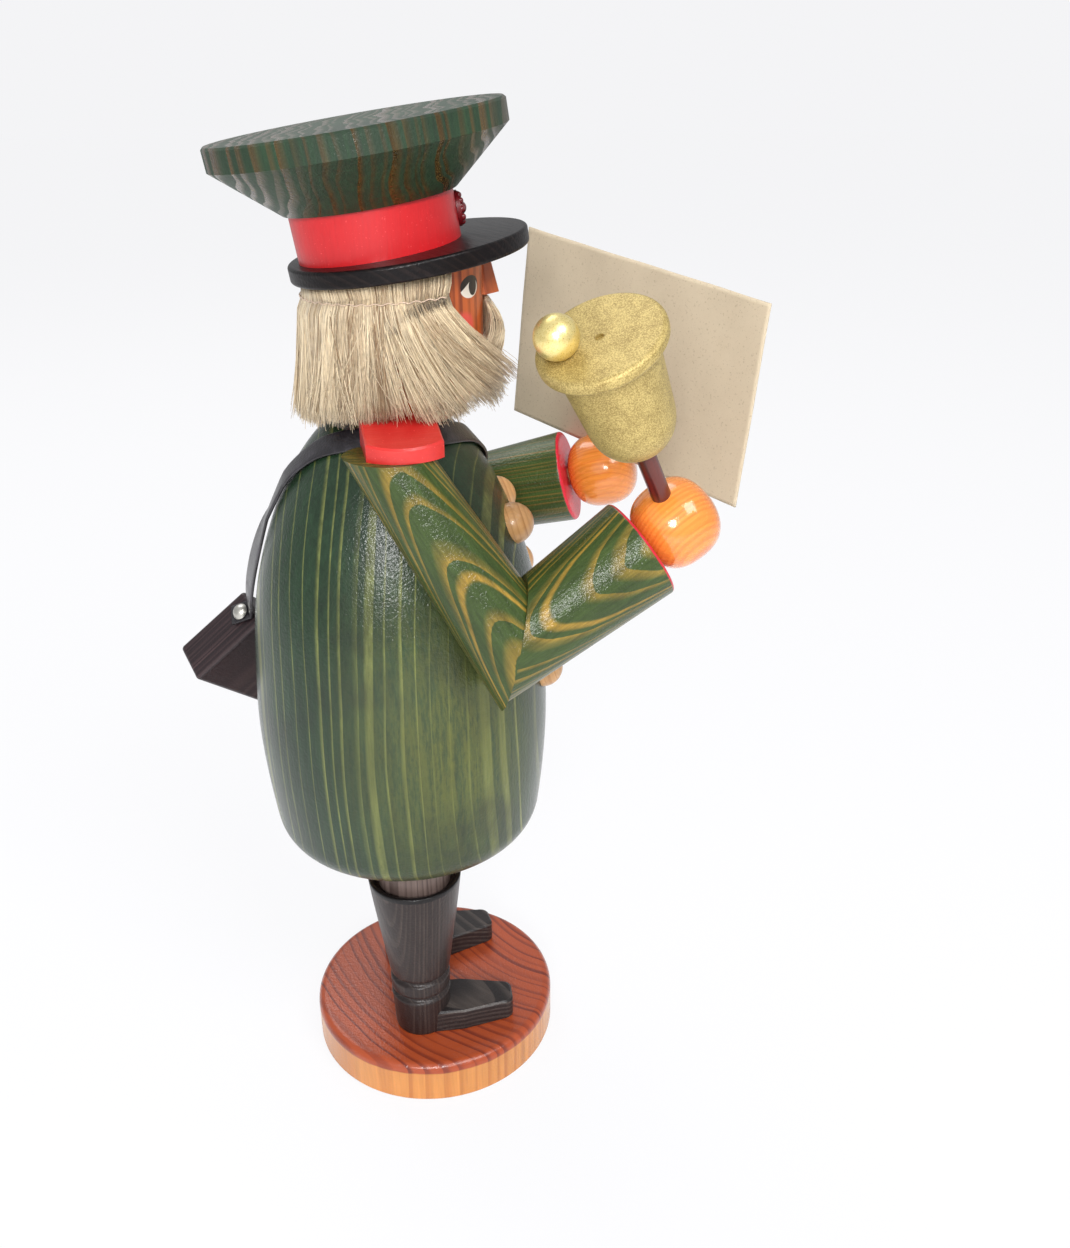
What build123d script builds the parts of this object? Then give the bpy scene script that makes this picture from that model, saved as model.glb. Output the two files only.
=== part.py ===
from build123d import *
from math import cos, radians, sin, tan
import os

os.makedirs("parts", exist_ok=True)

# A turned wooden incense smoker: a town crier who rings a bell and reads from a sheet.
# The origin is the middle of the base plate's underside, up is +Z, and the figure faces -Y,
# so its own right arm is on the -X side. Sizes are millimetres.

# Fits shared by all pieces
glue_gap = 0.05
running_gap = 0.06
rest_gap = 0.3
cut_overrun = 2.0

# Base plate
base_diameter = 68.0
base_thickness = 12.2
base_edge_round = 2.2
base_foot_round = 0.8

# Where the turned pieces stand, measured back from the middle of the base
leg_set_back = 5.6
coat_set_back = 4.2
head_set_back = 0.4

# Legs and boots
leg_spacing = 28.6
leg_diameter = 19.0
leg_show = 7.5
leg_seat_depth = 14.0
leg_tenon_diameter = 8.0
leg_tenon_height = 7.0
boot_height = 50.8
boot_top_diameter = 24.5
boot_rim_drop = 1.6
boot_mouth_gap = 0.9
boot_ankle_diameter = 16.2
boot_heel_diameter = 15.0
heel_height = 9.6
groove_spacing = 4.9
groove_width = 1.5
groove_depth = 1.0
boot_peg_diameter = 6.0
boot_peg_height = 8.0

# Shoes
shoe_length = 25.2
shoe_width = 10.0
shoe_toe_width = 6.6
shoe_height = 8.0
shoe_toe_height = 7.0
shoe_toe_round = 2.4
shoe_edge_round = 0.5

# Leg disc, which closes the coat from below and carries the incense
flange_diameter = 41.0
flange_thickness = 3.0
spigot_diameter = 38.0
spigot_height = 8.0
spigot_lead = 0.8
air_hole_diameter = 7.0
air_hole_circle = 26.0
plate_diameter = 17.0
plate_thickness = 0.6
plate_rim_height = 1.8
nail_head_diameter = 3.2
nail_head_height = 0.8
nail_shank_diameter = 1.2
nail_length = 6.0

# Coat, a hollow turned barrel
coat_hover = 0.5
coat_height = 111.0
coat_radius = 36.8
coat_foot_radius = 24.0
coat_neck_radius = 13.6
chamber_height = 62.0
chamber_cone_height = 9.0
smoke_hole_diameter = 12.0
# How finely a height is looked up along the coat's side
surface_step_share = 0.0001
# Each pair is a share of the coat's height and a share of its largest radius.
coat_outline_shares = (
    (0.075, 0.945),
    (0.190, 0.982),
    (0.332, 1.000),
    (0.481, 0.976),
    (0.630, 0.922),
    (0.778, 0.790),
    (0.897, 0.622),
)

# Buttons, two columns of turned half balls
button_diameter = 10.0
button_column_angle = 20.5
button_rows = 3
button_row_spacing = 19.0
button_top_drop = 25.0
button_peg_diameter = 2.5
button_peg_length = 4.0

# Arms: tapered turned sticks, mitred at the elbow
shoulder_out = 27.0
shoulder_back = 3.3
shoulder_drop = 1.1
arm_shoulder_diameter = 16.4
arm_elbow_diameter = 20.4
arm_cuff_diameter = 24.4
cuff_edge_round = 0.9
right_elbow_out = 38.0
right_elbow_forward = 21.2
right_elbow_drop = 42.9
right_cuff_out = 34.5
right_cuff_forward = 51.7
right_cuff_drop = 24.0
left_elbow_out = 42.5
left_elbow_forward = 19.7
left_elbow_drop = 36.5
left_cuff_out = 29.7
left_cuff_forward = 51.7
left_cuff_drop = 27.7
arm_seat_gap = 0.15
shoulder_dowel_diameter = 4.0
shoulder_dowel_length = 12.0
shoulder_dowel_drop = 11.0
shoulder_dowel_inset = 5.0

# Hands, turned beads on a wrist dowel
hand_diameter = 18.4
hand_length = 17.0
hand_round = 7.4
wrist_dowel_diameter = 5.0
wrist_dowel_length = 11.0

# Hand bell, held mouth up
bell_mouth_out = 51.0
bell_mouth_forward = 36.1
bell_mouth_rise = 26.5
bell_rim_diameter = 26.6
bell_rim_thickness = 3.0
bell_rim_round = 1.1
bell_shoulder_diameter = 21.4
bell_waist_diameter = 18.6
bell_length = 30.0
bell_waist_share = 0.70
bell_crown_round_share = 0.62
bell_crown_height_share = 0.94
bell_pit_diameter = 2.0
bell_pit_depth = 0.8
handle_diameter = 4.4
handle_socket = 6.0
handle_grip_depth = 6.5
clapper_diameter = 9.0
clapper_seat_depth = 0.6
clapper_off_centre = 7.5

# Sheet of paper in the left hand
sheet_width = 78.0
sheet_height = 51.0
sheet_thickness = 0.8
sheet_turn = 57.2
sheet_slope = 7.7
sheet_grip_share = 0.44
sheet_slot_depth = 3.6
sheet_slot_gap = 0.1
sheet_corner_round = 0.4

# Shoulder boards
board_inner = 17.2
board_outer = 34.4
board_width = 16.4
board_bulge = 3.4
board_rise = 6.2
board_drop = 3.2
board_edge_round = 0.4
board_forward = 0.4

# Neck tube and head
neck_outer_diameter = 14.0
neck_bore_diameter = 9.0
neck_in_coat = 8.0
neck_in_head = 8.0
head_diameter = 38.0
head_height = 34.0
chin_radius = 11.0
chin_height = 15.0
head_smoke_depth = 19.5
mouth_diameter = 5.0
mouth_height = 17.5
nose_height = 8.0
nose_depth = 3.4
nose_top_depth = 0.7
nose_width = 5.6
nose_base_height = 27.6

# Cap, four turned pieces that lean back together
cap_lean = 8.7
cap_base_height = 33.7
cap_back = 2.5
visor_diameter = 53.1
visor_thickness = 3.7
visor_forward = 6.0
visor_edge_round = 0.7
band_diameter = 35.8
band_height = 10.2
crown_diameter = 64.0
crown_foot_diameter = 38.0
crown_cone_height = 10.9
crown_rim_height = 4.9
crown_edge_round = 0.5
cap_dowel_diameter = 6.0
cap_dowel_in_head = 9.0
cap_dowel_in_crown = 8.0
cockade_diameter = 7.6
cockade_thickness = 1.3
cockade_boss_diameter = 3.0
cockade_petals = 10
cockade_petal_diameter = 1.5
cockade_petal_rise = 0.2
cockade_rim = 0.2

# Hair and beard fringe, bundles of straight bristle on a sewn strip
fringe_opening_angle = 122.0
fringe_columns = 118
fringe_layers = 3
fringe_layer_spacing = 0.75
fringe_strip_height = 2.0
fringe_gap = 0.4
strand_radius = 0.34
strand_tip_radius = 0.22
strand_length = 23.5
strand_length_play = 1.3
strand_flare = 1.2
strand_sweep_angle = 9.0
strand_root_depth = 0.6
# How the bristles' lengths vary: radians from one to the next, twice over, and from row to row
play_step_share = 2.4
play_beat_share = 0.7
play_row_share = 13.0
moustache_columns = 14
moustache_layers = 2
moustache_half_angle = 27.0
moustache_part_angle = 7.5
moustache_height = 24.6
moustache_strip_height = 1.4
moustache_length = 10.5
moustache_flare = 2.6
moustache_spread_angle = 9.0

# Shoulder strap
strap_width = 5.4
strap_thickness = 0.9
strap_lift = 0.5
strap_tab_length = 6.0
strap_rear_skew = 25.0
strap_rear_lift = 6.0
strap_tab_bend = 3.0
strap_coat_bend = 12.0
strap_coat_steps = 30
strap_tail_steps = 6
strap_tab_steps = 5
# Each pair is a share of a full turn, from the left side towards the back, and a share of the
# coat's height. The route climbs the back, crosses the right shoulder, falls over the chest
# between two rows of buttons and passes under the left elbow.
strap_route_shares = (
    (0.239, 0.796),
    (0.265, 0.896),
    (0.316, 0.957),
    (0.400, 0.984),
    (0.500, 0.988),
    (0.590, 0.982),
    (0.650, 0.953),
    (0.700, 0.890),
    (0.750, 0.785),
    (0.780, 0.725),
    (0.807, 0.688),
    (0.835, 0.655),
    (0.870, 0.602),
    (0.917, 0.530),
    (0.975, 0.462),
)

# Shoulder bag
bag_thickness = 12.0
bag_height = 24.0
bag_width = 30.0
bag_edge_round = 1.2
bag_out = 32.2
bag_back = 37.2
bag_rise = 39.1
bag_face_turn = 21.6
bag_face_tilt = 26.3
bag_roll = 44.0
tack_head_diameter = 4.4
tack_head_height = 1.4
tack_shank_diameter = 1.6
tack_shank_length = 7.0
tack_top_inset = 3.0

# Heights that follow from the sizes above
base_top = base_thickness
boot_top = base_top + boot_height
leg_top = boot_top + leg_show
flange_top = leg_top + flange_thickness
spigot_top = flange_top + spigot_height
coat_bottom = leg_top + coat_hover
coat_top = coat_bottom + coat_height
chamber_top = coat_bottom + chamber_height
head_top = coat_top + head_height


def turned(outline, set_back=0.0):
    """Turn a closed outline of (radius, height) points or curves about an upright axis."""
    profile = Plane.XZ * make_face(outline)
    return Pos(0, set_back, 0) * revolve(profile, Axis.Z)


def cylinder(diameter, low, high, x=0.0, y=0.0):
    """An upright cylinder between two heights."""
    return Pos(x, y, low) * Cylinder(diameter / 2, high - low, align=(Align.CENTER, Align.CENTER, Align.MIN))


def disc(diameter, thickness, low_round, high_round):
    """A turned disc on the XY plane with both outer edges rounded."""
    plate = Cylinder(diameter / 2, thickness, align=(Align.CENTER, Align.CENTER, Align.MIN))
    plate = fillet(plate.faces().sort_by(Axis.Z)[0].edges(), low_round)
    return fillet(plate.faces().sort_by(Axis.Z)[-1].edges(), high_round)


def rod(start, end, diameter):
    """A round rod from one point to another."""
    way = Vector(end) - Vector(start)
    seat = Plane(origin=start, z_dir=way)
    return seat * Cylinder(diameter / 2, way.length, align=(Align.CENTER, Align.CENTER, Align.MIN))


def save(name, solid):
    """Write one piece, named and closed, to its own file."""
    solid.label = name
    export_step(solid, "parts/" + name + ".step")


def as_group(solids):
    """Keep like pieces together as separate solids of one node."""
    return Compound(children=list(solids))


def coat_side(grow=0.0):
    """The coat's upright outline from its foot curve to its neck, as (radius, height)."""
    points = [(coat_radius * wide + grow, coat_bottom + coat_height * high) for high, wide in coat_outline_shares]
    return Spline(points + [(coat_neck_radius + grow, coat_top)])


def coat_blank(grow=0.0):
    """The coat before it is bored: a barrel with a rounded foot and a sloping shoulder."""
    side = coat_side(grow)
    start = Vector(coat_foot_radius, coat_bottom - grow)
    foot = Spline([start, side @ 0], tangents=[(1, 0), side % 0])
    top = Polyline(side @ 1, (0, coat_top), (0, start.Y), start)
    return turned(foot + side + top, coat_set_back)


def coat_surface(turn, height, lift=0.0):
    """A point on or just off the coat's side at a turn in degrees and a height, and the way out."""
    side = coat_side()
    low, high = 0.0, 1.0
    while high - low > surface_step_share:
        middle = (low + high) / 2
        if (side @ middle).Y < height:
            low = middle
        else:
            high = middle
    place, slope = side @ low, side % low
    angle = radians(turn)
    outward = Vector(slope.Y * cos(angle), slope.Y * sin(angle), -slope.X)
    point = Vector(place.X * cos(angle), coat_set_back + place.X * sin(angle), place.Y)
    return point + outward * lift, outward


def base_plate():
    """Round base plate with two holes for the boots' pegs."""
    plate = disc(base_diameter, base_thickness, base_foot_round, base_edge_round)
    for side in (-1, 1):
        plate -= cylinder(boot_peg_diameter + 2 * glue_gap, base_top - boot_peg_height - glue_gap,
                          base_top + cut_overrun, side * leg_spacing / 2, leg_set_back)
    return plate


def boot(side):
    """Turned boot: heel, two ankle grooves, a flared shaft and a socket for the leg."""
    top, ankle, heel = boot_top_diameter / 2, boot_ankle_diameter / 2, boot_heel_diameter / 2
    low_groove = base_top + heel_height
    high_groove = low_groove + groove_spacing
    shaft_foot = high_groove + groove_width
    outline = Polyline((0, base_top), (heel, base_top), (ankle, low_groove - groove_width),
                       (ankle, low_groove), (ankle - groove_depth, low_groove + groove_width / 2),
                       (ankle, low_groove + groove_width), (ankle, high_groove),
                       (ankle - groove_depth, high_groove + groove_width / 2), (ankle, shaft_foot))
    shaft = Spline([(ankle, shaft_foot), (top - boot_rim_drop / 2, boot_top - boot_height / 4), (top, boot_top)])
    closing = Polyline((top, boot_top), (0, boot_top), (0, base_top))
    body = turned(outline + shaft + closing)
    body += cylinder(boot_peg_diameter, base_top - boot_peg_height, base_top)
    socket = leg_diameter + 2 * glue_gap
    body -= cylinder(socket, boot_top - leg_seat_depth, boot_top + cut_overrun)
    body -= cylinder(socket + 2 * boot_mouth_gap, boot_top - boot_rim_drop, boot_top + cut_overrun)
    return Pos(side * leg_spacing / 2, leg_set_back, 0) * body


def shoe(side):
    """Flat wooden shoe that tapers to a rounded toe and is hollowed to fit the heel."""
    heel_line = leg_set_back
    toe_line = leg_set_back - shoe_length
    plan = make_face(Polyline((-shoe_width / 2, heel_line), (shoe_width / 2, heel_line),
                              (shoe_width / 2, heel_line - shoe_length / 2), (shoe_toe_width / 2, toe_line),
                              (-shoe_toe_width / 2, toe_line), (-shoe_width / 2, heel_line - shoe_length / 2),
                              close=True))
    plan = fillet(plan.vertices().sort_by(Axis.Y)[:2], shoe_toe_round)
    block = Pos(0, 0, base_top) * extrude(plan, shoe_height)
    fall = shoe_height - shoe_toe_height
    side_view = make_face(Polyline((heel_line, base_top), (heel_line, base_top + shoe_height),
                                   (toe_line - cut_overrun, base_top + shoe_height - fall),
                                   (toe_line - cut_overrun, base_top), close=True))
    block &= extrude(Plane.YZ * side_view, shoe_width, both=True)
    block = fillet(block.faces().sort_by(Axis.Z)[-1].edges(), shoe_edge_round)
    block -= cylinder(boot_ankle_diameter + 2 * glue_gap, base_top - cut_overrun,
                      base_top + shoe_height + cut_overrun, 0, leg_set_back)
    return Pos(side * leg_spacing / 2, 0, 0) * block


def leg(side):
    """Trouser leg: a dowel that sits in the boot, with a tenon up into the leg disc."""
    body = cylinder(leg_diameter, boot_top - leg_seat_depth, leg_top)
    body += cylinder(leg_tenon_diameter, leg_top, leg_top + leg_tenon_height)
    return Pos(side * leg_spacing / 2, leg_set_back, 0) * body


def leg_disc():
    """Stepped disc that the coat drops over, with air holes and sockets for the legs."""
    body = cylinder(flange_diameter, leg_top, flange_top, 0, coat_set_back)
    spigot = cylinder(spigot_diameter, flange_top, spigot_top, 0, coat_set_back)
    body += chamfer(spigot.faces().sort_by(Axis.Z)[-1].edges(), spigot_lead)
    for side in (-1, 1):
        body -= cylinder(leg_tenon_diameter + 2 * glue_gap, leg_top - cut_overrun,
                         leg_top + leg_tenon_height + glue_gap, side * leg_spacing / 2, leg_set_back)
        body -= cylinder(air_hole_diameter, leg_top - cut_overrun, spigot_top + cut_overrun,
                         0, coat_set_back + side * air_hole_circle / 2)
    body -= cylinder(nail_shank_diameter, spigot_top - nail_length, spigot_top + cut_overrun, 0, coat_set_back)
    return body


def incense_plate():
    """Pressed tin dish that the incense cone stands on."""
    outer, rim = plate_diameter / 2, spigot_top + plate_rim_height
    dish = turned(Polyline((0, spigot_top), (outer - plate_rim_height, spigot_top), (outer, rim),
                           (outer - plate_thickness, rim), (outer - plate_rim_height, spigot_top + plate_thickness),
                           (0, spigot_top + plate_thickness), close=True), coat_set_back)
    return dish - cylinder(nail_shank_diameter, spigot_top - cut_overrun, rim, 0, coat_set_back)


def plate_nail():
    """Small nail that pins the dish to the leg disc."""
    under_head = spigot_top + plate_thickness
    body = cylinder(nail_shank_diameter - 2 * glue_gap, under_head - nail_length, under_head, 0, coat_set_back)
    return body + cylinder(nail_head_diameter, under_head, under_head + nail_head_height, 0, coat_set_back)


def neck_hole(low, high, diameter):
    """A cutter on the line of the neck, which stands under the head."""
    return cylinder(diameter, low, high, 0, head_set_back)


def coat():
    """Hollow coat: spigot bore, smoke chamber with a coned roof, and the hole up to the neck."""
    body = coat_blank()
    bore = spigot_diameter + 2 * running_gap
    body -= cylinder(flange_diameter + 2 * rest_gap, coat_bottom - cut_overrun, flange_top, 0, coat_set_back)
    body -= cylinder(bore, flange_top - cut_overrun, chamber_top, 0, coat_set_back)
    roof = Cone(bore / 2, smoke_hole_diameter / 2, chamber_cone_height, align=(Align.CENTER, Align.CENTER, Align.MIN))
    body -= Pos(0, coat_set_back, chamber_top) * roof
    body -= neck_hole(chamber_top - cut_overrun, coat_top, smoke_hole_diameter)
    body -= neck_hole(coat_top - neck_in_coat, coat_top + cut_overrun, neck_outer_diameter + 2 * glue_gap)
    for row in range(button_rows):
        for side in (-1, 1):
            point, outward = button_seat(row, side)
            body -= rod(point + outward * cut_overrun, point - outward * (button_peg_length + glue_gap),
                        button_peg_diameter + 2 * glue_gap)
    for start, end in shoulder_dowel_ends():
        body -= rod(start, end, shoulder_dowel_diameter + 2 * glue_gap)
    return body


def button_seat(row, side):
    """Where a button's back meets the coat, and the way it points."""
    height = coat_top - button_top_drop - row * button_row_spacing
    return coat_surface(270 + side * button_column_angle, height)


def button(row, side):
    """Half ball with a peg, its back hollowed by the coat's curve."""
    point, outward = button_seat(row, side)
    seat = Plane(origin=point, z_dir=outward)
    ball = seat * Sphere(button_diameter / 2)
    dome = ball - coat_blank()
    peg = rod(point + outward * glue_gap, point - outward * button_peg_length, button_peg_diameter)
    return dome.solids().sort_by(SortBy.VOLUME)[-1] + peg


def arm_places(side):
    """The middle of an arm's shoulder, elbow and cuff. Side -1 is the figure's right."""
    right = side < 0
    shoulder = Vector(side * shoulder_out, coat_set_back + shoulder_back, coat_top - shoulder_drop)
    elbow_out = right_elbow_out if right else left_elbow_out
    elbow_forward = right_elbow_forward if right else left_elbow_forward
    elbow_drop = right_elbow_drop if right else left_elbow_drop
    cuff_out = right_cuff_out if right else left_cuff_out
    cuff_forward = right_cuff_forward if right else left_cuff_forward
    cuff_drop = right_cuff_drop if right else left_cuff_drop
    elbow = Vector(side * elbow_out, coat_set_back - elbow_forward, coat_top - elbow_drop)
    cuff = Vector(side * cuff_out, coat_set_back - cuff_forward, coat_top - cuff_drop)
    return shoulder, elbow, cuff


def taper(start, end, start_diameter, end_diameter, overrun):
    """A tapered stick from start to end, run on past both ends at the same taper."""
    way = end - start
    direction = way.normalized()
    slope = (end_diameter - start_diameter) / 2 / way.length
    low = start_diameter / 2 - slope * overrun[0]
    high = end_diameter / 2 + slope * overrun[1]
    seat = Plane(origin=start - direction * overrun[0], z_dir=direction)
    height = way.length + overrun[0] + overrun[1]
    return seat * Cone(low, high, height, align=(Align.CENTER, Align.CENTER, Align.MIN))


def mitre_plane(side):
    """The plane in which the two halves of an arm meet."""
    shoulder, elbow, cuff = arm_places(side)
    return Plane(origin=elbow, z_dir=(shoulder - elbow).normalized() - (cuff - elbow).normalized())


def upper_arm(side):
    """Upper arm: tapered stick, mitred below, cut level above and hollowed to lie on the coat."""
    shoulder, elbow, cuff = arm_places(side)
    runs = (arm_elbow_diameter, arm_shoulder_diameter)
    body = taper(elbow, shoulder, arm_elbow_diameter, arm_shoulder_diameter, runs)
    body = split(body, bisect_by=mitre_plane(side), keep=Keep.TOP)
    body = split(body, bisect_by=Plane(origin=shoulder), keep=Keep.BOTTOM)
    body -= coat_blank(arm_seat_gap)
    for start, end in shoulder_dowel_ends():
        body -= rod(start, end, shoulder_dowel_diameter + 2 * glue_gap)
    return body


def forearm(side):
    """Forearm: the stick's thick end, mitred at the elbow, with a hole for the wrist dowel."""
    shoulder, elbow, cuff = arm_places(side)
    body = taper(elbow, cuff, arm_elbow_diameter, arm_cuff_diameter, (arm_elbow_diameter, 0))
    rim = body.faces().sort_by_distance(cuff)[0].edges()
    body = fillet(rim, cuff_edge_round)
    body = split(body, bisect_by=mitre_plane(side), keep=Keep.BOTTOM)
    along = (cuff - elbow).normalized()
    depth = wrist_dowel_length / 2 + glue_gap
    return body - rod(cuff - along * depth, cuff + along * depth, wrist_dowel_diameter + 2 * glue_gap)


def shoulder_dowel_ends():
    """Both ends of each shoulder dowel, which crosses from the coat into the upper arm."""
    ends = []
    for side in (-1, 1):
        shoulder, elbow, cuff = arm_places(side)
        share = shoulder_dowel_drop / (shoulder - elbow).length
        in_arm = shoulder + (elbow - shoulder) * share
        inward = Vector(-in_arm.X, coat_set_back - in_arm.Y, 0).normalized()
        start = in_arm - inward * (shoulder_dowel_length / 2 - shoulder_dowel_inset)
        ends.append((start, start + inward * shoulder_dowel_length))
    return ends


def shoulder_dowel(start, end):
    """Short dowel, a little shorter at both ends than its hole."""
    way = (end - start).normalized()
    return rod(start + way * glue_gap, end - way * glue_gap, shoulder_dowel_diameter)


def hand_place(side):
    """The middle of a hand, and the way its forearm points."""
    shoulder, elbow, cuff = arm_places(side)
    along = (cuff - elbow).normalized()
    return cuff + along * (hand_length / 2), along


def hand(side):
    """Turned bead with round shoulders on the end of the forearm."""
    middle, along = hand_place(side)
    radius = hand_diameter / 2
    face = make_face(Polyline((0, 0), (radius, 0), (radius, hand_length), (0, hand_length), close=True))
    outer = [v for v in face.vertices() if v.X > radius / 2]
    face = fillet(outer, hand_round)
    bead = revolve(Plane.XZ * face, Axis.Z)
    cuff = middle - along * (hand_length / 2)
    body = Plane(origin=cuff, z_dir=along) * bead
    depth = wrist_dowel_length / 2 + glue_gap
    body -= rod(cuff - along * depth, cuff + along * depth, wrist_dowel_diameter + 2 * glue_gap)
    if side < 0:
        start, end = handle_ends()
        way = (end - start).normalized()
        return body - rod(start, end + way * glue_gap, handle_diameter + 2 * glue_gap)
    return body - paper_sheet(sheet_slot_gap)


def wrist_dowel(side):
    """Dowel that joins a hand to its forearm."""
    middle, along = hand_place(side)
    cuff = middle - along * (hand_length / 2)
    return rod(cuff - along * (wrist_dowel_length / 2), cuff + along * (wrist_dowel_length / 2), wrist_dowel_diameter)


def bell_frame():
    """The middle of the bell's mouth, and the way the mouth looks."""
    mouth = Vector(-bell_mouth_out, coat_set_back - bell_mouth_forward, coat_top + bell_mouth_rise)
    middle, along = hand_place(-1)
    return mouth, (mouth - middle).normalized()


def bell():
    """Solid wooden bell: a flat mouth with a centre pit, a rim, a waist and a round crown."""
    mouth, up = bell_frame()
    rim, shoulder, waist = bell_rim_diameter / 2, bell_shoulder_diameter / 2, bell_waist_diameter / 2
    rim_line = Polyline((0, bell_length), (0, 0), (rim, 0), (rim, bell_rim_thickness),
                        (shoulder, bell_rim_thickness))
    side = Line((shoulder, bell_rim_thickness), (waist, bell_length * bell_waist_share))
    crown = Spline([side @ 1, (waist * bell_crown_round_share, bell_length * bell_crown_height_share),
                    (0, bell_length)], tangents=[side % 1, (-1, 0)])
    profile = make_face(rim_line + side + crown)
    profile = fillet([v for v in profile.vertices() if v.X > (rim + shoulder) / 2], bell_rim_round)
    body = Plane(origin=mouth, z_dir=-up) * revolve(Plane.XZ * profile, Axis.Z)
    body -= rod(mouth + up * cut_overrun, mouth - up * bell_pit_depth, bell_pit_diameter)
    start, end = handle_ends()
    return body - rod(start + up * glue_gap, end, handle_diameter + 2 * glue_gap)


def handle_ends():
    """The bell end and the hand end of the handle."""
    mouth, up = bell_frame()
    middle, along = hand_place(-1)
    start = mouth - up * (bell_length - handle_socket)
    end = middle + up * (hand_diameter / 2 - handle_grip_depth)
    return start, end


def bell_handle():
    """Dowel handle, glued into the bell's crown and the hand."""
    start, end = handle_ends()
    return rod(start, end, handle_diameter)


def clapper_ball():
    """Wooden ball glued on the bell's mouth near its rim, with a small flat where it sits."""
    mouth, up = bell_frame()
    back = Vector(0, 1, 0)
    across = (back - up * back.dot(up)).normalized()
    centre = mouth + across * clapper_off_centre + up * (clapper_diameter / 2 - clapper_seat_depth)
    ball = Plane(origin=centre, z_dir=up) * Sphere(clapper_diameter / 2)
    return split(ball, bisect_by=Plane(origin=mouth + up * glue_gap, z_dir=up), keep=Keep.TOP)


def sheet_frame():
    """The sheet's lower edge at the hand, its way along and its way up."""
    middle, along = hand_place(1)
    turn, slope = radians(sheet_turn), radians(sheet_slope)
    level = Vector(-sin(turn), -cos(turn), 0)
    run = level * cos(slope) - Vector(0, 0, sin(slope))
    rise = level * sin(slope) + Vector(0, 0, cos(slope))
    foot = middle + rise * (hand_diameter / 2 - sheet_slot_depth)
    return foot, run, rise


def paper_sheet(grow=0.0):
    """Thin stiff sheet that stands in a sawn slot in the left hand."""
    foot, run, rise = sheet_frame()
    corner = foot - run * (sheet_width * sheet_grip_share)
    middle = corner + run * (sheet_width / 2) + rise * (sheet_height / 2)
    sheet = Box(sheet_width + 2 * grow, sheet_height + 2 * grow, sheet_thickness + 2 * grow)
    if not grow:
        sheet = fillet(sheet.edges().filter_by(Axis.Z), sheet_corner_round)
    return Plane(origin=middle, x_dir=run, z_dir=run.cross(rise)) * sheet


def epaulette(side):
    """Shoulder board: a block with a bowed outer end and a sloping top over the arm."""
    middle = coat_set_back - board_forward
    low, high = middle - board_width / 2, middle + board_width / 2
    corner = board_outer - board_bulge
    bow = ThreePointArc((corner, low), (board_outer, middle), (corner, high))
    plan = make_face(Polyline((corner, high), (board_inner, high), (board_inner, low), (corner, low)) + bow)
    foot = coat_top - shoulder_drop + glue_gap
    block = Pos(0, 0, foot) * extrude(plan, board_rise)
    slope = make_face(Polyline((board_inner, foot), (board_outer, foot), (board_outer, foot + board_drop),
                               (board_inner, foot + board_rise), close=True))
    block &= extrude(Plane.XZ * slope, board_width * 2, both=True)
    block = chamfer(block.faces().sort_by(Axis.Z)[-1].edges(), board_edge_round)
    block -= coat_blank(arm_seat_gap)
    return block if side > 0 else mirror(block, about=Plane.YZ)


def neck_tube():
    """Hollow dowel that holds the head and lets the smoke through."""
    low, high = coat_top - neck_in_coat, coat_top + neck_in_head
    return neck_hole(low, high, neck_outer_diameter) - neck_hole(low - cut_overrun, high + cut_overrun, neck_bore_diameter)


def cap_frame(along=0.0, forward=0.0):
    """A plane that leans back with the cap, a distance up from the head and a distance forward."""
    lean = radians(cap_lean)
    up = Vector(0, sin(lean), cos(lean))
    ahead = Vector(0, -cos(lean), sin(lean))
    foot = Vector(0, head_set_back + cap_back, coat_top + cap_base_height)
    return Plane(origin=foot + up * along + ahead * forward, x_dir=(1, 0, 0), z_dir=up)


def head():
    """Turned head with a rounded chin, cut on a slant for the cap and bored for the smoke."""
    radius = head_diameter / 2
    chin = Spline([(chin_radius, coat_top), (radius, coat_top + chin_height)], tangents=[(1, 0.6), (0, 1)])
    high = head_top + radius
    body = turned(chin + Polyline((radius, coat_top + chin_height), (radius, high), (0, high), (0, coat_top),
                                  (chin_radius, coat_top)), head_set_back)
    body = split(body, bisect_by=cap_frame(), keep=Keep.BOTTOM)
    body -= neck_hole(coat_top - cut_overrun, coat_top + neck_in_head + glue_gap, neck_outer_diameter + 2 * glue_gap)
    body -= neck_hole(coat_top, coat_top + head_smoke_depth, neck_bore_diameter)
    mouth = Vector(0, head_set_back, coat_top + mouth_height)
    body -= rod(mouth, mouth - Vector(0, radius + cut_overrun, 0), mouth_diameter)
    return body - cap_dowel(glue_gap)


def nose():
    """Wedge-shaped nose glued on the front of the face."""
    front = head_set_back - head_diameter / 2
    low = coat_top + nose_base_height
    side_view = make_face(Polyline((front + nose_depth, low), (front - nose_depth, low),
                                   (front - nose_top_depth, low + nose_height), (front + nose_depth, low + nose_height),
                                   close=True))
    body = extrude(Plane.YZ * side_view, nose_width / 2, both=True)
    ridge = body.faces().sort_by(Axis.Y)[0].edges().filter_by(lambda e: abs((e % 0.5).Z) > 0.5)
    body = chamfer(ridge, nose_width / 3)
    return body - cylinder(head_diameter + 2 * glue_gap, low - cut_overrun, low + nose_height + cut_overrun,
                           0, head_set_back)


def cap_dowel(grow=0.0):
    """Centre dowel that pins the cap's turned pieces to the head."""
    length = visor_thickness + band_height + cap_dowel_in_crown
    return cap_frame(-cap_dowel_in_head - grow) * Cylinder(
        cap_dowel_diameter / 2 + grow, cap_dowel_in_head + length + 2 * grow,
        align=(Align.CENTER, Align.CENTER, Align.MIN))


def cap_visor():
    """Round brim disc that stands forward of the band."""
    plate = disc(visor_diameter, visor_thickness, visor_edge_round, visor_edge_round)
    return cap_frame(0, visor_forward) * plate - cap_dowel(glue_gap)


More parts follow.
